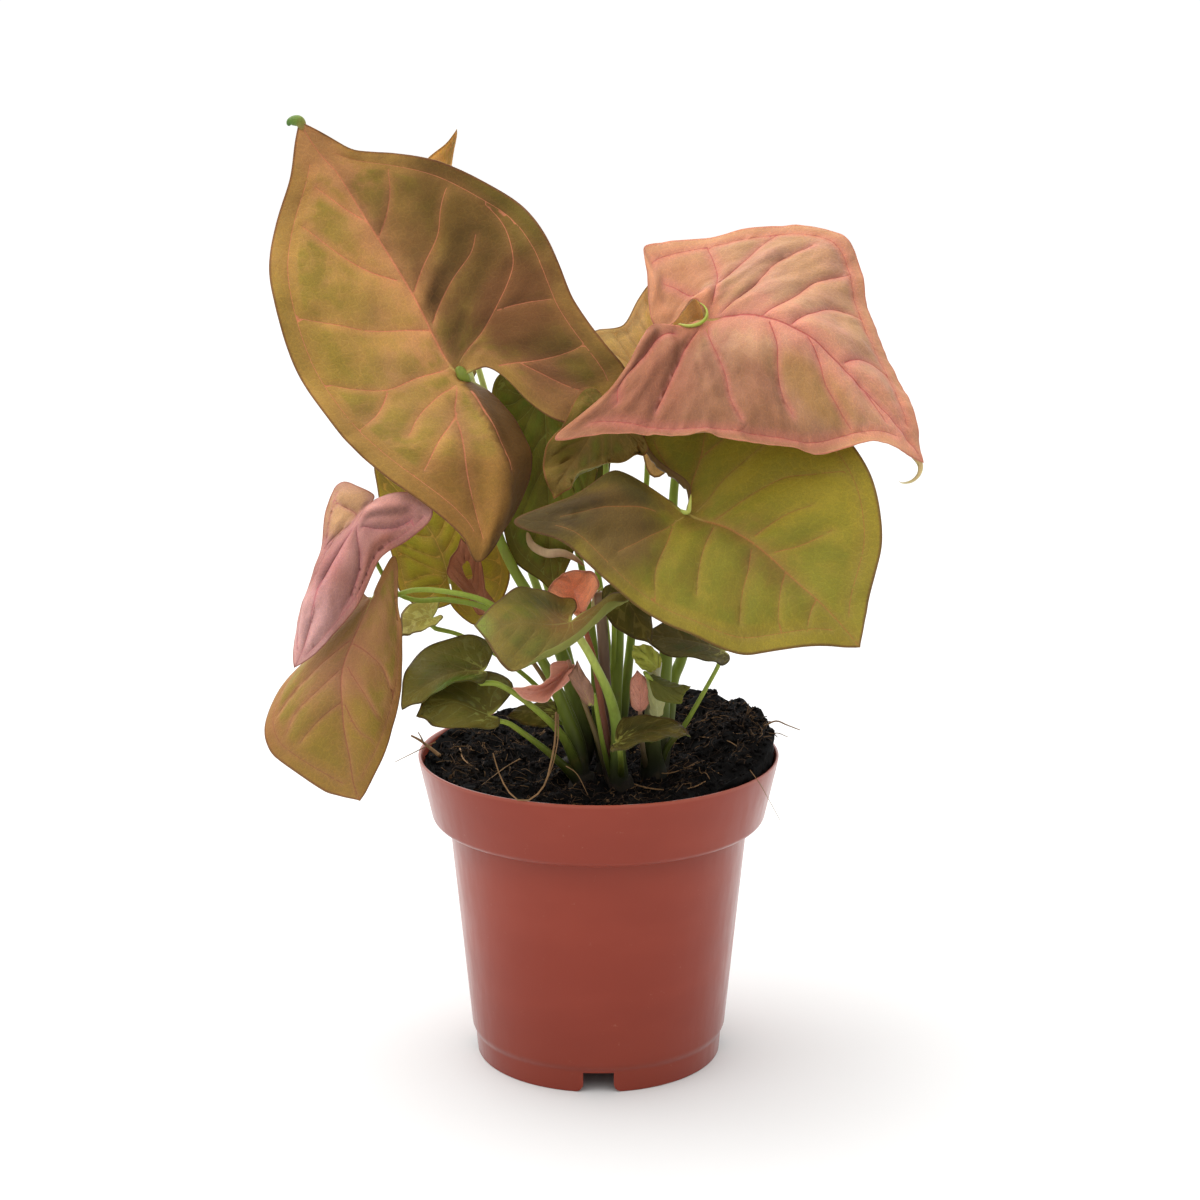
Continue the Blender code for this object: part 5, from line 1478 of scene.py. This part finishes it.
innerWall = dict(heights=(0.0082, 0.0808, 0.084, 0.104), radii=(0.0417, 0.0486, 0.0543, 0.0588))


def wallRadius(height):
    return np.interp(height, innerWall["heights"], innerWall["radii"])


def peatHeight(x, y):
    across, behind = x / peat["rimRadius"], y / peat["rimRadius"]
    heap = peat["heapMm"] * np.clip(1.15 * across + 0.35 * behind - 0.1, 0, 1) ** 0.8
    heap = heap + peat["backMm"] * np.maximum(0, behind)
    heap = heap + peat["lumpMm"] * np.sin(190 * x + 1.0) * np.sin(160 * y + 0.5)
    for right, back, wideMm, highMm in peat["heapsMm"]:
        heap = heap + highMm * np.exp(-((x / mm - right) ** 2 + (y / mm - back) ** 2) / wideMm ** 2)
    return peat["level"] + (heap + peat["rippleMm"] * np.sin(330 * x - 270 * y)) * mm


def clods(x, y):
    # how far the loose surface stands over the plain height
    where = np.column_stack([x, y]) / mm
    rough = softNoise(where, peat["clodWideMm"], peat["seed"]) * peat["clodMm"]
    rough = rough + softNoise(where, peat["gritWideMm"], peat["seed"] + 1) * peat["gritMm"]
    rough = rough + softNoise(where, peat["gritWideMm"] / 2.5, peat["seed"] + 2) * peat["gritMm"] * 0.6
    return rough * mm


def peatTop(x, y):
    return peatHeight(x, y) + clods(x, y)[0]


def onPeat(column, row, lift):
    # where the line of sight through a place in the picture meets the peat
    near, deep = -60.0, 60.0
    for _ in range(30):
        middle = (near + deep) / 2
        x, y, z = place(column, row, middle)
        if z > peatHeight(x, y):
            near = middle
        else:
            deep = middle
    return place(column, row, near) + [0, 0, lift * mm]


def addPeatBed(material):
    clear = peat["clearMm"] * mm
    share = np.linspace(0, 1, peat["rings"])[1:] ** 0.85
    angle = np.linspace(0, 2 * np.pi, peat["spokes"], endpoint=False)
    cos, sin = np.cos(angle), np.sin(angle)
    near, rim = wallRadius(peat["level"] - 0.006), innerWall["heights"][-1]
    brim = peatHeight(near * cos, near * sin)
    edge = wallRadius(np.minimum(brim, rim)) - clear
    radius = edge * share[:, None]
    x, y = radius * cos, radius * sin
    calm = np.maximum(smoothStep(0, 2 * mm, edge - radius), smoothStep(rim, peat["brimLoose"], brim))
    z = peatHeight(x, y) + clods(x.ravel(), y.ravel()).reshape(x.shape) * calm
    rows = [np.stack([x, y, z], axis=-1)]
    for drop in peat["brimDrops"]:
        height = brim - (brim - np.minimum(peat["brimFoot"], brim - 0.001)) * drop
        around = peat["dentRadiusMm"] * np.column_stack([cos, sin, height / peat["dentRadiusMm"] / mm])
        dent = np.abs(softNoise(around, peat["gritWideMm"] * 1.3, peat["seed"] + 3)) * peat["dentMm"] * mm
        size = wallRadius(np.minimum(height, rim)) - clear - dent
        rows.append(np.stack([size * cos, size * sin, height], axis=-1)[None])
    for height in peat["wallHeights"]:
        size = wallRadius(height) - clear
        rows.append(np.stack([size * cos, size * sin, np.full(len(angle), height)], axis=-1)[None])
    rings = np.vstack(rows)
    ends = [[0, 0, peatHeight(0.0, 0.0)], [0, 0, peat["wallHeights"][-1]]]
    verts = np.vstack([rings.reshape(-1, 3), ends])
    quads, caps = ringFaces(*rings.shape[:2])
    bed = newPiece("peat_bed", verts, [quads[:, [0, 3, 2, 1]], caps[:, [0, 2, 1]]], material)
    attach(bed, "root")
    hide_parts("soil")


def turnRound(points, angle):
    # points turned about the upright axis
    cos, sin = math.cos(angle), math.sin(angle)
    return points @ np.array([[cos, sin, 0], [-sin, cos, 0], [0, 0, 1]])


def addCrumbs(material):
    # small broken lumps, each one a bumpy ball pressed into the surface
    dice = np.random.default_rng(peat["seed"])
    ring = np.linspace(0, 2 * np.pi, 6, endpoint=False)
    rise = np.linspace(-np.pi / 2, np.pi / 2, 5)[1:-1]
    ball = [(0, 0, -1.0)] + [(np.cos(a) * np.cos(r), np.sin(a) * np.cos(r), np.sin(r))
                             for r in rise for a in ring] + [(0, 0, 1.0)]
    ball = np.array(ball)
    quads = [(1 + 6 * r + a, 1 + 6 * r + (a + 1) % 6, 7 + 6 * r + (a + 1) % 6, 7 + 6 * r + a)
             for r in range(2) for a in range(6)]
    caps = [(0, 1 + (a + 1) % 6, 1 + a) for a in range(6)]
    caps += [(len(ball) - 1, 13 + a, 13 + (a + 1) % 6) for a in range(6)]
    quads, caps = np.array(quads), np.array(caps)
    verts, fours, threes, kinds = [], [], [], []
    low, high = peat["crumbMm"]
    for k in range(peat["crumbs"]):
        angle, out = dice.uniform(0, 2 * np.pi), math.sqrt(dice.uniform(0, 1)) * peat["crumbRadius"]
        x, y = out * math.cos(angle), out * math.sin(angle)
        size = (low + (high - low) * dice.uniform(0, 1) ** 3) * mm
        shape = ball * dice.uniform(*peat["crumbRough"], (len(ball), 1))
        shape = shape * dice.uniform(*peat["crumbFlat"], 3) * size
        shape = turnRound(shape, dice.uniform(0, 2 * np.pi))
        fours.append(quads + len(ball) * k)
        threes.append(caps + len(ball) * k)
        verts.append(shape + [x, y, peatTop(x, y) + size * peat["crumbLift"]])
        kinds.append(np.full(len(ball), dice.uniform(0, 1)))
    crumbs = newPiece("peat_crumbs", np.vstack(verts), [np.vstack(fours), np.vstack(threes)], material,
                      {"kind": np.concatenate(kinds)}, smooth=False)
    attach(crumbs, "root")


def strand(points, thickMm, count, sides=5):
    # a root or fibre through the points, thinner to its end
    path = evenSteps(smoothPath(points, 80), count)
    radii = thickMm * mm * np.linspace(1.0, 0.45, count)
    return tube(path, radii, sides)


# Old roots and threads lying on the peat and over the rim, by marks (column, row, mm above the peat)
rootRoutes = [
    dict(thickMm=0.3, marks=[(460, 750, 0.5), (464, 762, 0.8), (478, 771, 0.4)]),
    dict(thickMm=0.3, marks=[(620, 780, 0.5), (650, 792, 1.2), (690, 790, 0.6), (722, 772, 0.4)]),
    dict(thickMm=0.26, marks=[(640, 768, 0.4), (668, 776, 0.9), (704, 762, 0.5)]),
    dict(thickMm=0.24, marks=[(700, 738, 0.4), (728, 744, 1.0), (756, 762, 0.5)]),
    dict(thickMm=0.22, marks=[(520, 760, 0.4), (505, 770, 0.8), (482, 786, 0.4)])]


def addStrands(name, parts, kinds, material):
    verts, faces = joinParts(parts)
    kinds = np.concatenate([np.full(len(part[0]), kind) for part, kind in zip(parts, kinds)])
    piece = newPiece(name, verts, faces, material, {"kind": kinds})
    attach(piece, "root")


def addRoots(material):
    dice = np.random.default_rng(peat["seed"] + 4)
    parts, kinds = [], []
    for route in rootRoutes:
        kinds.append(0.9)
        points = [onPeat(column, row, lift) for column, row, lift in route["marks"]]
        parts.append(strand(points, route["thickMm"], 30))
    for _ in range(peat["fibres"]):
        angle, out = dice.uniform(0, 2 * np.pi), math.sqrt(dice.uniform(0, 1)) * peat["fibreRadius"]
        heading, reach = dice.uniform(0, 2 * np.pi), dice.uniform(*peat["fibreMm"]) * mm
        points = []
        for k in range(4):
            x = out * math.cos(angle) + math.cos(heading) * reach * k / 3
            y = out * math.sin(angle) + math.sin(heading) * reach * k / 3
            heading += dice.normal(0, 0.5)
            if math.hypot(x, y) > peat["fibreEndRadius"]:
                break
            points.append((x, y, peatTop(x, y) + dice.uniform(*peat["fibreLiftMm"]) * mm))
        if len(points) > 2:
            parts.append(strand(points, dice.uniform(*peat["fibreThickMm"]), 8, 4))
            kinds.append(0.7 * dice.uniform(0, 1) ** 4)
    addStrands("peat_roots", parts, kinds, material)


def peatMaterial():
    def make(flow):
        where = flow.onPiece()
        clump = flow.noise(where, 240.0, 4.0, 0.65)
        fleck = flow.noise(where, 1500.0, 2.0, 0.7)
        base = clump.step(0.35, 0.7).mix(*peat["tones"])
        base = fleck.step(0.62, 0.72, 0.0, 0.3).mix(base, peat["fleckTone"])
        return {"Base Color": base, "Normal": (clump + fleck * 0.5).bump(0.9, 0.6),
                "Roughness": 0.78 + 0.2 * clump}
    return newMaterial("peat", make, Specular_IOR_Level=0.08)


def crumbMaterial():
    def make(flow):
        kind = flow.attribute("kind")
        fleck = flow.noise(flow.onPiece(), 900.0, 3.0, 0.7)
        base = kind.step(0.2, 0.8).mix(*peat["crumbTones"])
        base = kind.step(0.985, 0.99).mix(base, peat["barkTone"])
        return {"Base Color": base * (0.7 + 0.6 * fleck), "Normal": fleck.bump(0.8, 0.4), "Roughness": 0.88}
    return newMaterial("peat_crumb", make, Specular_IOR_Level=0.08)


def rootMaterial(name="old_root"):
    def make(flow):
        mottle = flow.noise(flow.onPiece(), 300.0, 3.0)
        base = flow.attribute("kind").mix(*peat["rootTones"])
        base = base * (0.6 + 0.8 * mottle)
        return {"Base Color": base, "Roughness": 0.7 + 0.1 * mottle}
    return newMaterial(name, make, Specular_IOR_Level=0.15)


addPeatBed(peatMaterial())
addCrumbs(crumbMaterial())
addRoots(rootMaterial())
print("peat ready")

# Pot: the profile down the outside and up the inside in mm, each corner with its rounding
pot = dict(sides=256, roundSteps=5, notches=4, notchWideMm=10.0, notchHighMm=7.0, notchCornerMm=3.0,
           notchDepthMm=8.0, baseRadiusMm=41.2, tones=((133, 49, 31), (141, 55, 36)),
           footShadeTone=(114, 42, 27), lipHighlightTone=(164, 88, 68), dustTone=(166, 110, 88))
potProfile = [(59.2, 104.0, 0.55), (60.0, 103.9, 0.5), (59.6, 101.6, 0.8), (55.5, 83.2, 0.8),
              (54.3, 82.0, 0.6), (51.6, 81.6, 0.4), (49.8, 80.8, 0.7), (42.9, 9.5, 1.5),
              (41.8, 7.5, 0.7), (41.2, 0.0, 0.4), (40.0, 0.0, 0.3), (40.6, 6.9, 0.4), (30.0, 6.8, 0.3),
              (0.0, 6.6, 0.0), (0.0, 8.2, 0.0), (41.7, 8.2, 0.8), (48.6, 80.8, 0.5), (54.3, 84.0, 0.8),
              (58.5, 102.9, 0.5)]


def roundedProfile():
    # the profile with a small arc at each corner
    points = np.array(potProfile)[:, :2]
    made = []
    for k, (_, _, radius) in enumerate(potProfile):
        here, before, after = points[k], points[k - 1], points[(k + 1) % len(points)]
        if radius == 0:
            made.append(here)
            continue
        size = min(radius, 0.45 * np.linalg.norm(before - here), 0.45 * np.linalg.norm(after - here))
        start = here + unit(before - here) * size
        end = here + unit(after - here) * size
        for t in np.linspace(0, 1, pot["roundSteps"]):
            made.append((1 - t) ** 2 * start + 2 * t * (1 - t) * here + t * t * end)
    return np.array(made) * mm


def turned(profile, sides):
    # a closed profile turned round the upright axis, its two points on the axis kept single
    angle = np.linspace(0, 2 * np.pi, sides, endpoint=False)
    verts, rings = [], []
    total = 0
    for radius, height in profile:
        if radius < 1e-6:
            verts.append(np.array([[0.0, 0.0, height]]))
            rings.append(np.full(sides, total))
            total += 1
        else:
            verts.append(np.stack([radius * np.cos(angle), radius * np.sin(angle),
                                   np.full(sides, height)], axis=1))
            rings.append(np.arange(sides) + total)
            total += sides
    quads, threes = [], []
    for k in range(len(rings)):
        upper, lower = rings[k], rings[(k + 1) % len(rings)]
        single = [len(set(ring)) == 1 for ring in (upper, lower)]
        a, b, c, d = upper, lower, np.roll(lower, -1), np.roll(upper, -1)
        if all(single):
            continue
        if single[0]:
            threes.append(np.stack([a, b, c], axis=1))
        elif single[1]:
            threes.append(np.stack([a, b, d], axis=1))
        else:
            quads.append(np.stack([a, b, c, d], axis=1))
    return np.vstack(verts), [np.vstack(quads), np.vstack(threes)]


def notchBlock(around):
    # a block through the foot ring, flared at its mouth
    half, corner = pot["notchWideMm"] / 2, pot["notchCornerMm"]
    outline = [(-half, pot["notchHighMm"]), (half, pot["notchHighMm"])]
    t = np.linspace(0, np.pi / 2, 6)
    outline += [(half + corner * (1 - math.cos(a)), corner * (1 - math.sin(a))) for a in t]
    outline.append((half + corner, -corner))
    outline += [(-x, z) for x, z in outline[:1:-1]]
    deep = pot["notchDepthMm"] / 2
    flat = np.array(outline)
    rows = [np.stack([flat[:, 0], np.full(len(flat), y), flat[:, 1]], axis=1) for y in (-deep, deep)]
    verts = np.vstack(rows)
    verts[:, 1] -= pot["baseRadiusMm"]
    verts = turnRound(verts, around) * mm
    count = len(flat)
    mesh = bpy.data.meshes.new("notch")
    faces = [tuple(range(count - 1, -1, -1)), tuple(range(count, 2 * count))]
    faces += [(k, (k + 1) % count, count + (k + 1) % count, count + k) for k in range(count)]
    mesh.from_pydata([tuple(v) for v in verts], [], faces)
    thing = bpy.data.objects.new("notch", mesh)
    scene.collection.objects.link(thing)
    return thing


def potMaterial():
    def make(flow):
        where = flow.onPiece()
        height = where.axis(2)
        swirl = flow.noise(where * (1.0, 1.0, 2.2), 14.0, 3.0)
        dust = flow.noise(where, 420.0, 3.0, 0.7)
        scuff = flow.noise(where * (1.0, 1.0, 0.25), 260.0, 2.0)
        base = swirl.step(0.35, 0.68).mix(*pot["tones"])
        # painted shade: darker towards the foot
        base = height.step(0.0, 0.05, 0.5, 0.0).mix(base, pot["footShadeTone"])
        # painted highlight: a lighter band along the top of the lip
        base = height.step(0.1025, 0.1036, 0.0, 0.35).mix(base, pot["lipHighlightTone"])
        base = dust.step(0.66, 0.8, 0.0, 0.3).mix(base, pot["dustTone"])
        return {"Base Color": base, "Normal": (dust + scuff).bump(0.12, 0.2),
                "Roughness": scuff.step(0.3, 0.7, 0.34, 0.46)}
    return newMaterial("terracotta_plastic", make, Specular_IOR_Level=0.14,
                       Coat_Weight=0.75, Coat_Roughness=0.22, Coat_IOR=1.3)


def addPot():
    verts, faces = turned(roundedProfile(), pot["sides"])
    shell = newPiece("pot_shell", verts, faces, potMaterial())
    cutters = [notchBlock(2 * math.pi * k / pot["notches"]) for k in range(pot["notches"])]
    for cutter in cutters:
        cut = shell.modifiers.new("notch", "BOOLEAN")
        cut.operation, cut.object, cut.solver = "DIFFERENCE", cutter, "EXACT"
    bpy.context.view_layer.update()
    result = bpy.data.meshes.new_from_object(shell.evaluated_get(bpy.context.evaluated_depsgraph_get()))
    shell.modifiers.clear()
    shell.data = result
    result.set_sharp_from_angle(angle=math.radians(35))
    for cutter in cutters:
        bpy.data.objects.remove(cutter)
    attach(shell, "root")
    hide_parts("pot")
    print("pot ready:", len(result.polygons), "faces")


addPot()

# Curled tips and other slips that grow on the leaves, by marks (column, row, depth) and widths in mm
slips = [
    dict(
        name="hook_top_left", slot="blade_tan", tones=((146, 118, 62), (96, 118, 44), (70, 108, 46)),
        widthMm=3.3, flat=0.8, ends=(0.6, 0.95),
        route=[(304, 130, -8), (300, 122, -8), (295, 120.5, -7.5), (290, 122, -7), (288, 126, -7)]),
    dict(
        name="hook_top_right", slot="blade_salmon",
        tones=((196, 140, 104), (190, 160, 110), (206, 190, 150)), widthMm=2.6, flat=0.22,
        ends=(1.0, 0.2),
        route=[
            (902, 442, -24), (912, 453, -19), (920, 464, -16), (919, 474, -15), (912, 481, -16),
            (903, 483, -18), (898, 481, -20)]),
    dict(
        name="sinus_top_right", slot="stalk", tones=((176, 176, 96), (150, 164, 64), (168, 180, 84)),
        widthMm=1.5, flat=0.8, ends=(0.3, 0.4),
        route=[
            (678, 324, -14), (689, 326, -14.6), (701, 323, -14), (707, 315, -13), (705, 307, -11.5),
            (697, 301, -10.5)]),
    dict(
        name="sinus_top_left", slot="stalk", tones=((112, 124, 52), (136, 150, 62), (124, 134, 58)),
        widthMm=3.5, flat=0.6, ends=(0.9, 0.9),
        route=[(457, 367, -23.2), (461, 372, -22.6), (465, 379, -21), (469, 388, -19)]),
    dict(
        name="sinus_right", slot="stalk", tones=((150, 168, 76), (176, 184, 92), (180, 176, 88)),
        widthMm=1.7, flat=0.8, ends=(0.4, 0.6),
        route=[(673, 506, -38), (680, 511, -39.8), (688, 512, -41), (690, 503, -41), (691, 494, -40.3)]),
    dict(
        name="bract_centre", slot="stalk", tones=((150, 150, 90), (196, 186, 128), (176, 160, 104)),
        widthMm=1.9, flat=0.8, ends=(0.8, 0.35),
        route=[(593, 612, -27), (594, 603, -27.5), (596, 595, -28), (602, 587, -28)]),
    dict(
        name="curled_edge", slot="blade_tan", tones=((150, 118, 80), (196, 166, 130), (140, 104, 70)),
        widthMm=3.2, flat=0.35, ends=(0.25, 0.7),
        route=[
            (527, 532, -20), (532, 545, -21.5), (546, 553, -22), (562, 553, -22.5), (574, 558, -22.5),
            (585, 566, -22)])]

# Two bits of leaf with no stalk to be seen
scraps = {
    "greenBract": (
        dict(
            midrib=dict(heart=(656, 668, -38), middle=(646, 656, -40), tip=(633, 646, -37)),
            left=dict(lobe=(661, 664, -38), wide=(656, 650, -40), slope=(644, 644, -38)),
            right=dict(lobe=(650, 672, -38), wide=(636, 663, -41), slope=(632, 654, -39))),
        dict(
            seed=61, spacingMm=0.8, quiltMm=0.3, creaseMm=0.3, seatMm=2.0,
            look=dict(
                main=(150, 166, 56), second=(116, 132, 42), greenTone=(100, 118, 34), green=0.3, band=0.0,
                vein=(170, 186, 90), rimTone=(120, 126, 60), underTone=(160, 158, 68), blush=0.0,
                heart=0.0))),
    "paleSheath": (
        dict(
            midrib=dict(heart=(656, 716, -34), middle=(656, 702, -36), tip=(654, 670, -37)),
            left=dict(lobe=(661, 716, -33), wide=(665, 698, -35), slope=(664, 680, -36)),
            right=dict(lobe=(652, 716, -33), wide=(649, 700, -35), slope=(647, 680, -36))),
        dict(
            seed=63, spacingMm=0.8, quiltMm=0.2, seatMm=2.0, slot="stalk",
            look=dict(
                youngLook, main=(178, 182, 128), second=(148, 150, 92), vein=(196, 200, 150),
                rimTone=(150, 130, 96), blush=0.0, underTone=(170, 170, 120), heart=0.0)))}


def addSlips():
    sides = 16
    for slip in slips:
        path = evenSteps(smoothPath([place(*mark) for mark in slip["route"]], 120), 44)
        share = np.linspace(0, 1, len(path))
        swell = np.sin(np.pi * share) ** 0.5
        first, last = slip["ends"]
        radii = slip["widthMm"] / 2 * mm * (swell * (1 - share * (1 - last)) + 0.25 * first * (1 - share))

        def section(angle, along):
            return 1 / np.sqrt(np.cos(angle) ** 2 + (np.sin(angle) / slip["flat"]) ** 2)
        verts, quads, caps = tube(path, radii, sides, section)
        piece = newPiece(slip["name"], verts, [quads, caps], stalkMaterial(slip["name"]),
                         {"tone": tubeTones(slip["tones"], share, sides), "reach": np.ones(len(verts))})
        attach(piece, "root")


# Twigs and hairs of old root that stand out from the peat over the rim, by marks (column, row, depth)
twigs = [
    dict(thickMm=0.75, route=[(440, 756, -6), (430, 748, -4), (421, 741, -3), (411, 735.5, -3)]),
    dict(thickMm=0.35, route=[(424, 744, -4), (421, 737, -5), (418, 732, -5)]),
    dict(thickMm=0.22, route=[(436, 742, -5), (425, 747, -6), (409, 755, -8), (395, 762, -9)]),
    dict(
        thickMm=0.42,
        route=[
            (556, 712, -40), (555, 740, -43), (551, 762, -47), (545, 784, -52), (533, 798, -55),
            (520, 801, -56), (508, 791, -55), (499, 773, -52), (493, 753, -48)]),
    dict(thickMm=0.3, route=[(558, 714, -40), (558, 738, -43), (554, 760, -46), (549, 776, -49)]),
    dict(thickMm=0.16, route=[(566, 766, -46), (577, 774, -49), (588, 795, -53)]),
    dict(thickMm=0.13, route=[(750, 770, -37), (760, 784, -36), (769, 800, -33), (780, 820, -31)]),
    dict(thickMm=0.35, route=[(764, 726, 4), (776, 721, 4), (787, 725, 4), (800, 730, 4)]),
    dict(thickMm=0.25, route=[(762, 738, 2), (776, 733, 1), (788, 737, 0)])]


def addTwigs(material):
    # the twigs, and ragged tufts of fibre round the high side of the peat
    dice = np.random.default_rng(peat["seed"] + 9)
    parts = [strand([place(*mark) for mark in twig["route"]], twig["thickMm"], 16) for twig in twigs]
    kinds = [0.75] * len(parts)
    for _ in range(peat["tufts"]):
        angle = dice.uniform(*peat["tuftTurn"])
        x, y = peat["tuftRadius"] * np.array([math.cos(angle), math.sin(angle)]) * dice.uniform(0.9, 1.0)
        here = np.array([x, y, peatTop(x, y) - peat["tuftSinkMm"] * mm])
        away = unit(np.array([x, y, 0.0])) * dice.uniform(-0.4, 0.7) + dice.normal(0, 0.6, 3)
        away[2] = abs(away[2]) * 0.8 + 0.25
        droop = dice.uniform(*peat["tuftDroop"])
        reach = dice.uniform(*peat["tuftMm"]) * mm
        route = [here + unit(away) * reach * t - [0, 0, droop * reach * t * t] for t in (0, 0.4, 0.75, 1.0)]
        if math.hypot(route[-1][0], route[-1][1]) < peat["tuftEndRadius"]:
            parts.append(strand(route, dice.uniform(*peat["tuftThickMm"]), 8, 4))
            kinds.append(dice.uniform(0, 0.35))
    addStrands("peat_twigs", parts, kinds, material)


addSlips()
for name, (marks, plan) in scraps.items():
    addBlade(name, marks, plan)
addTwigs(rootMaterial("twig"))
print("small pieces ready")
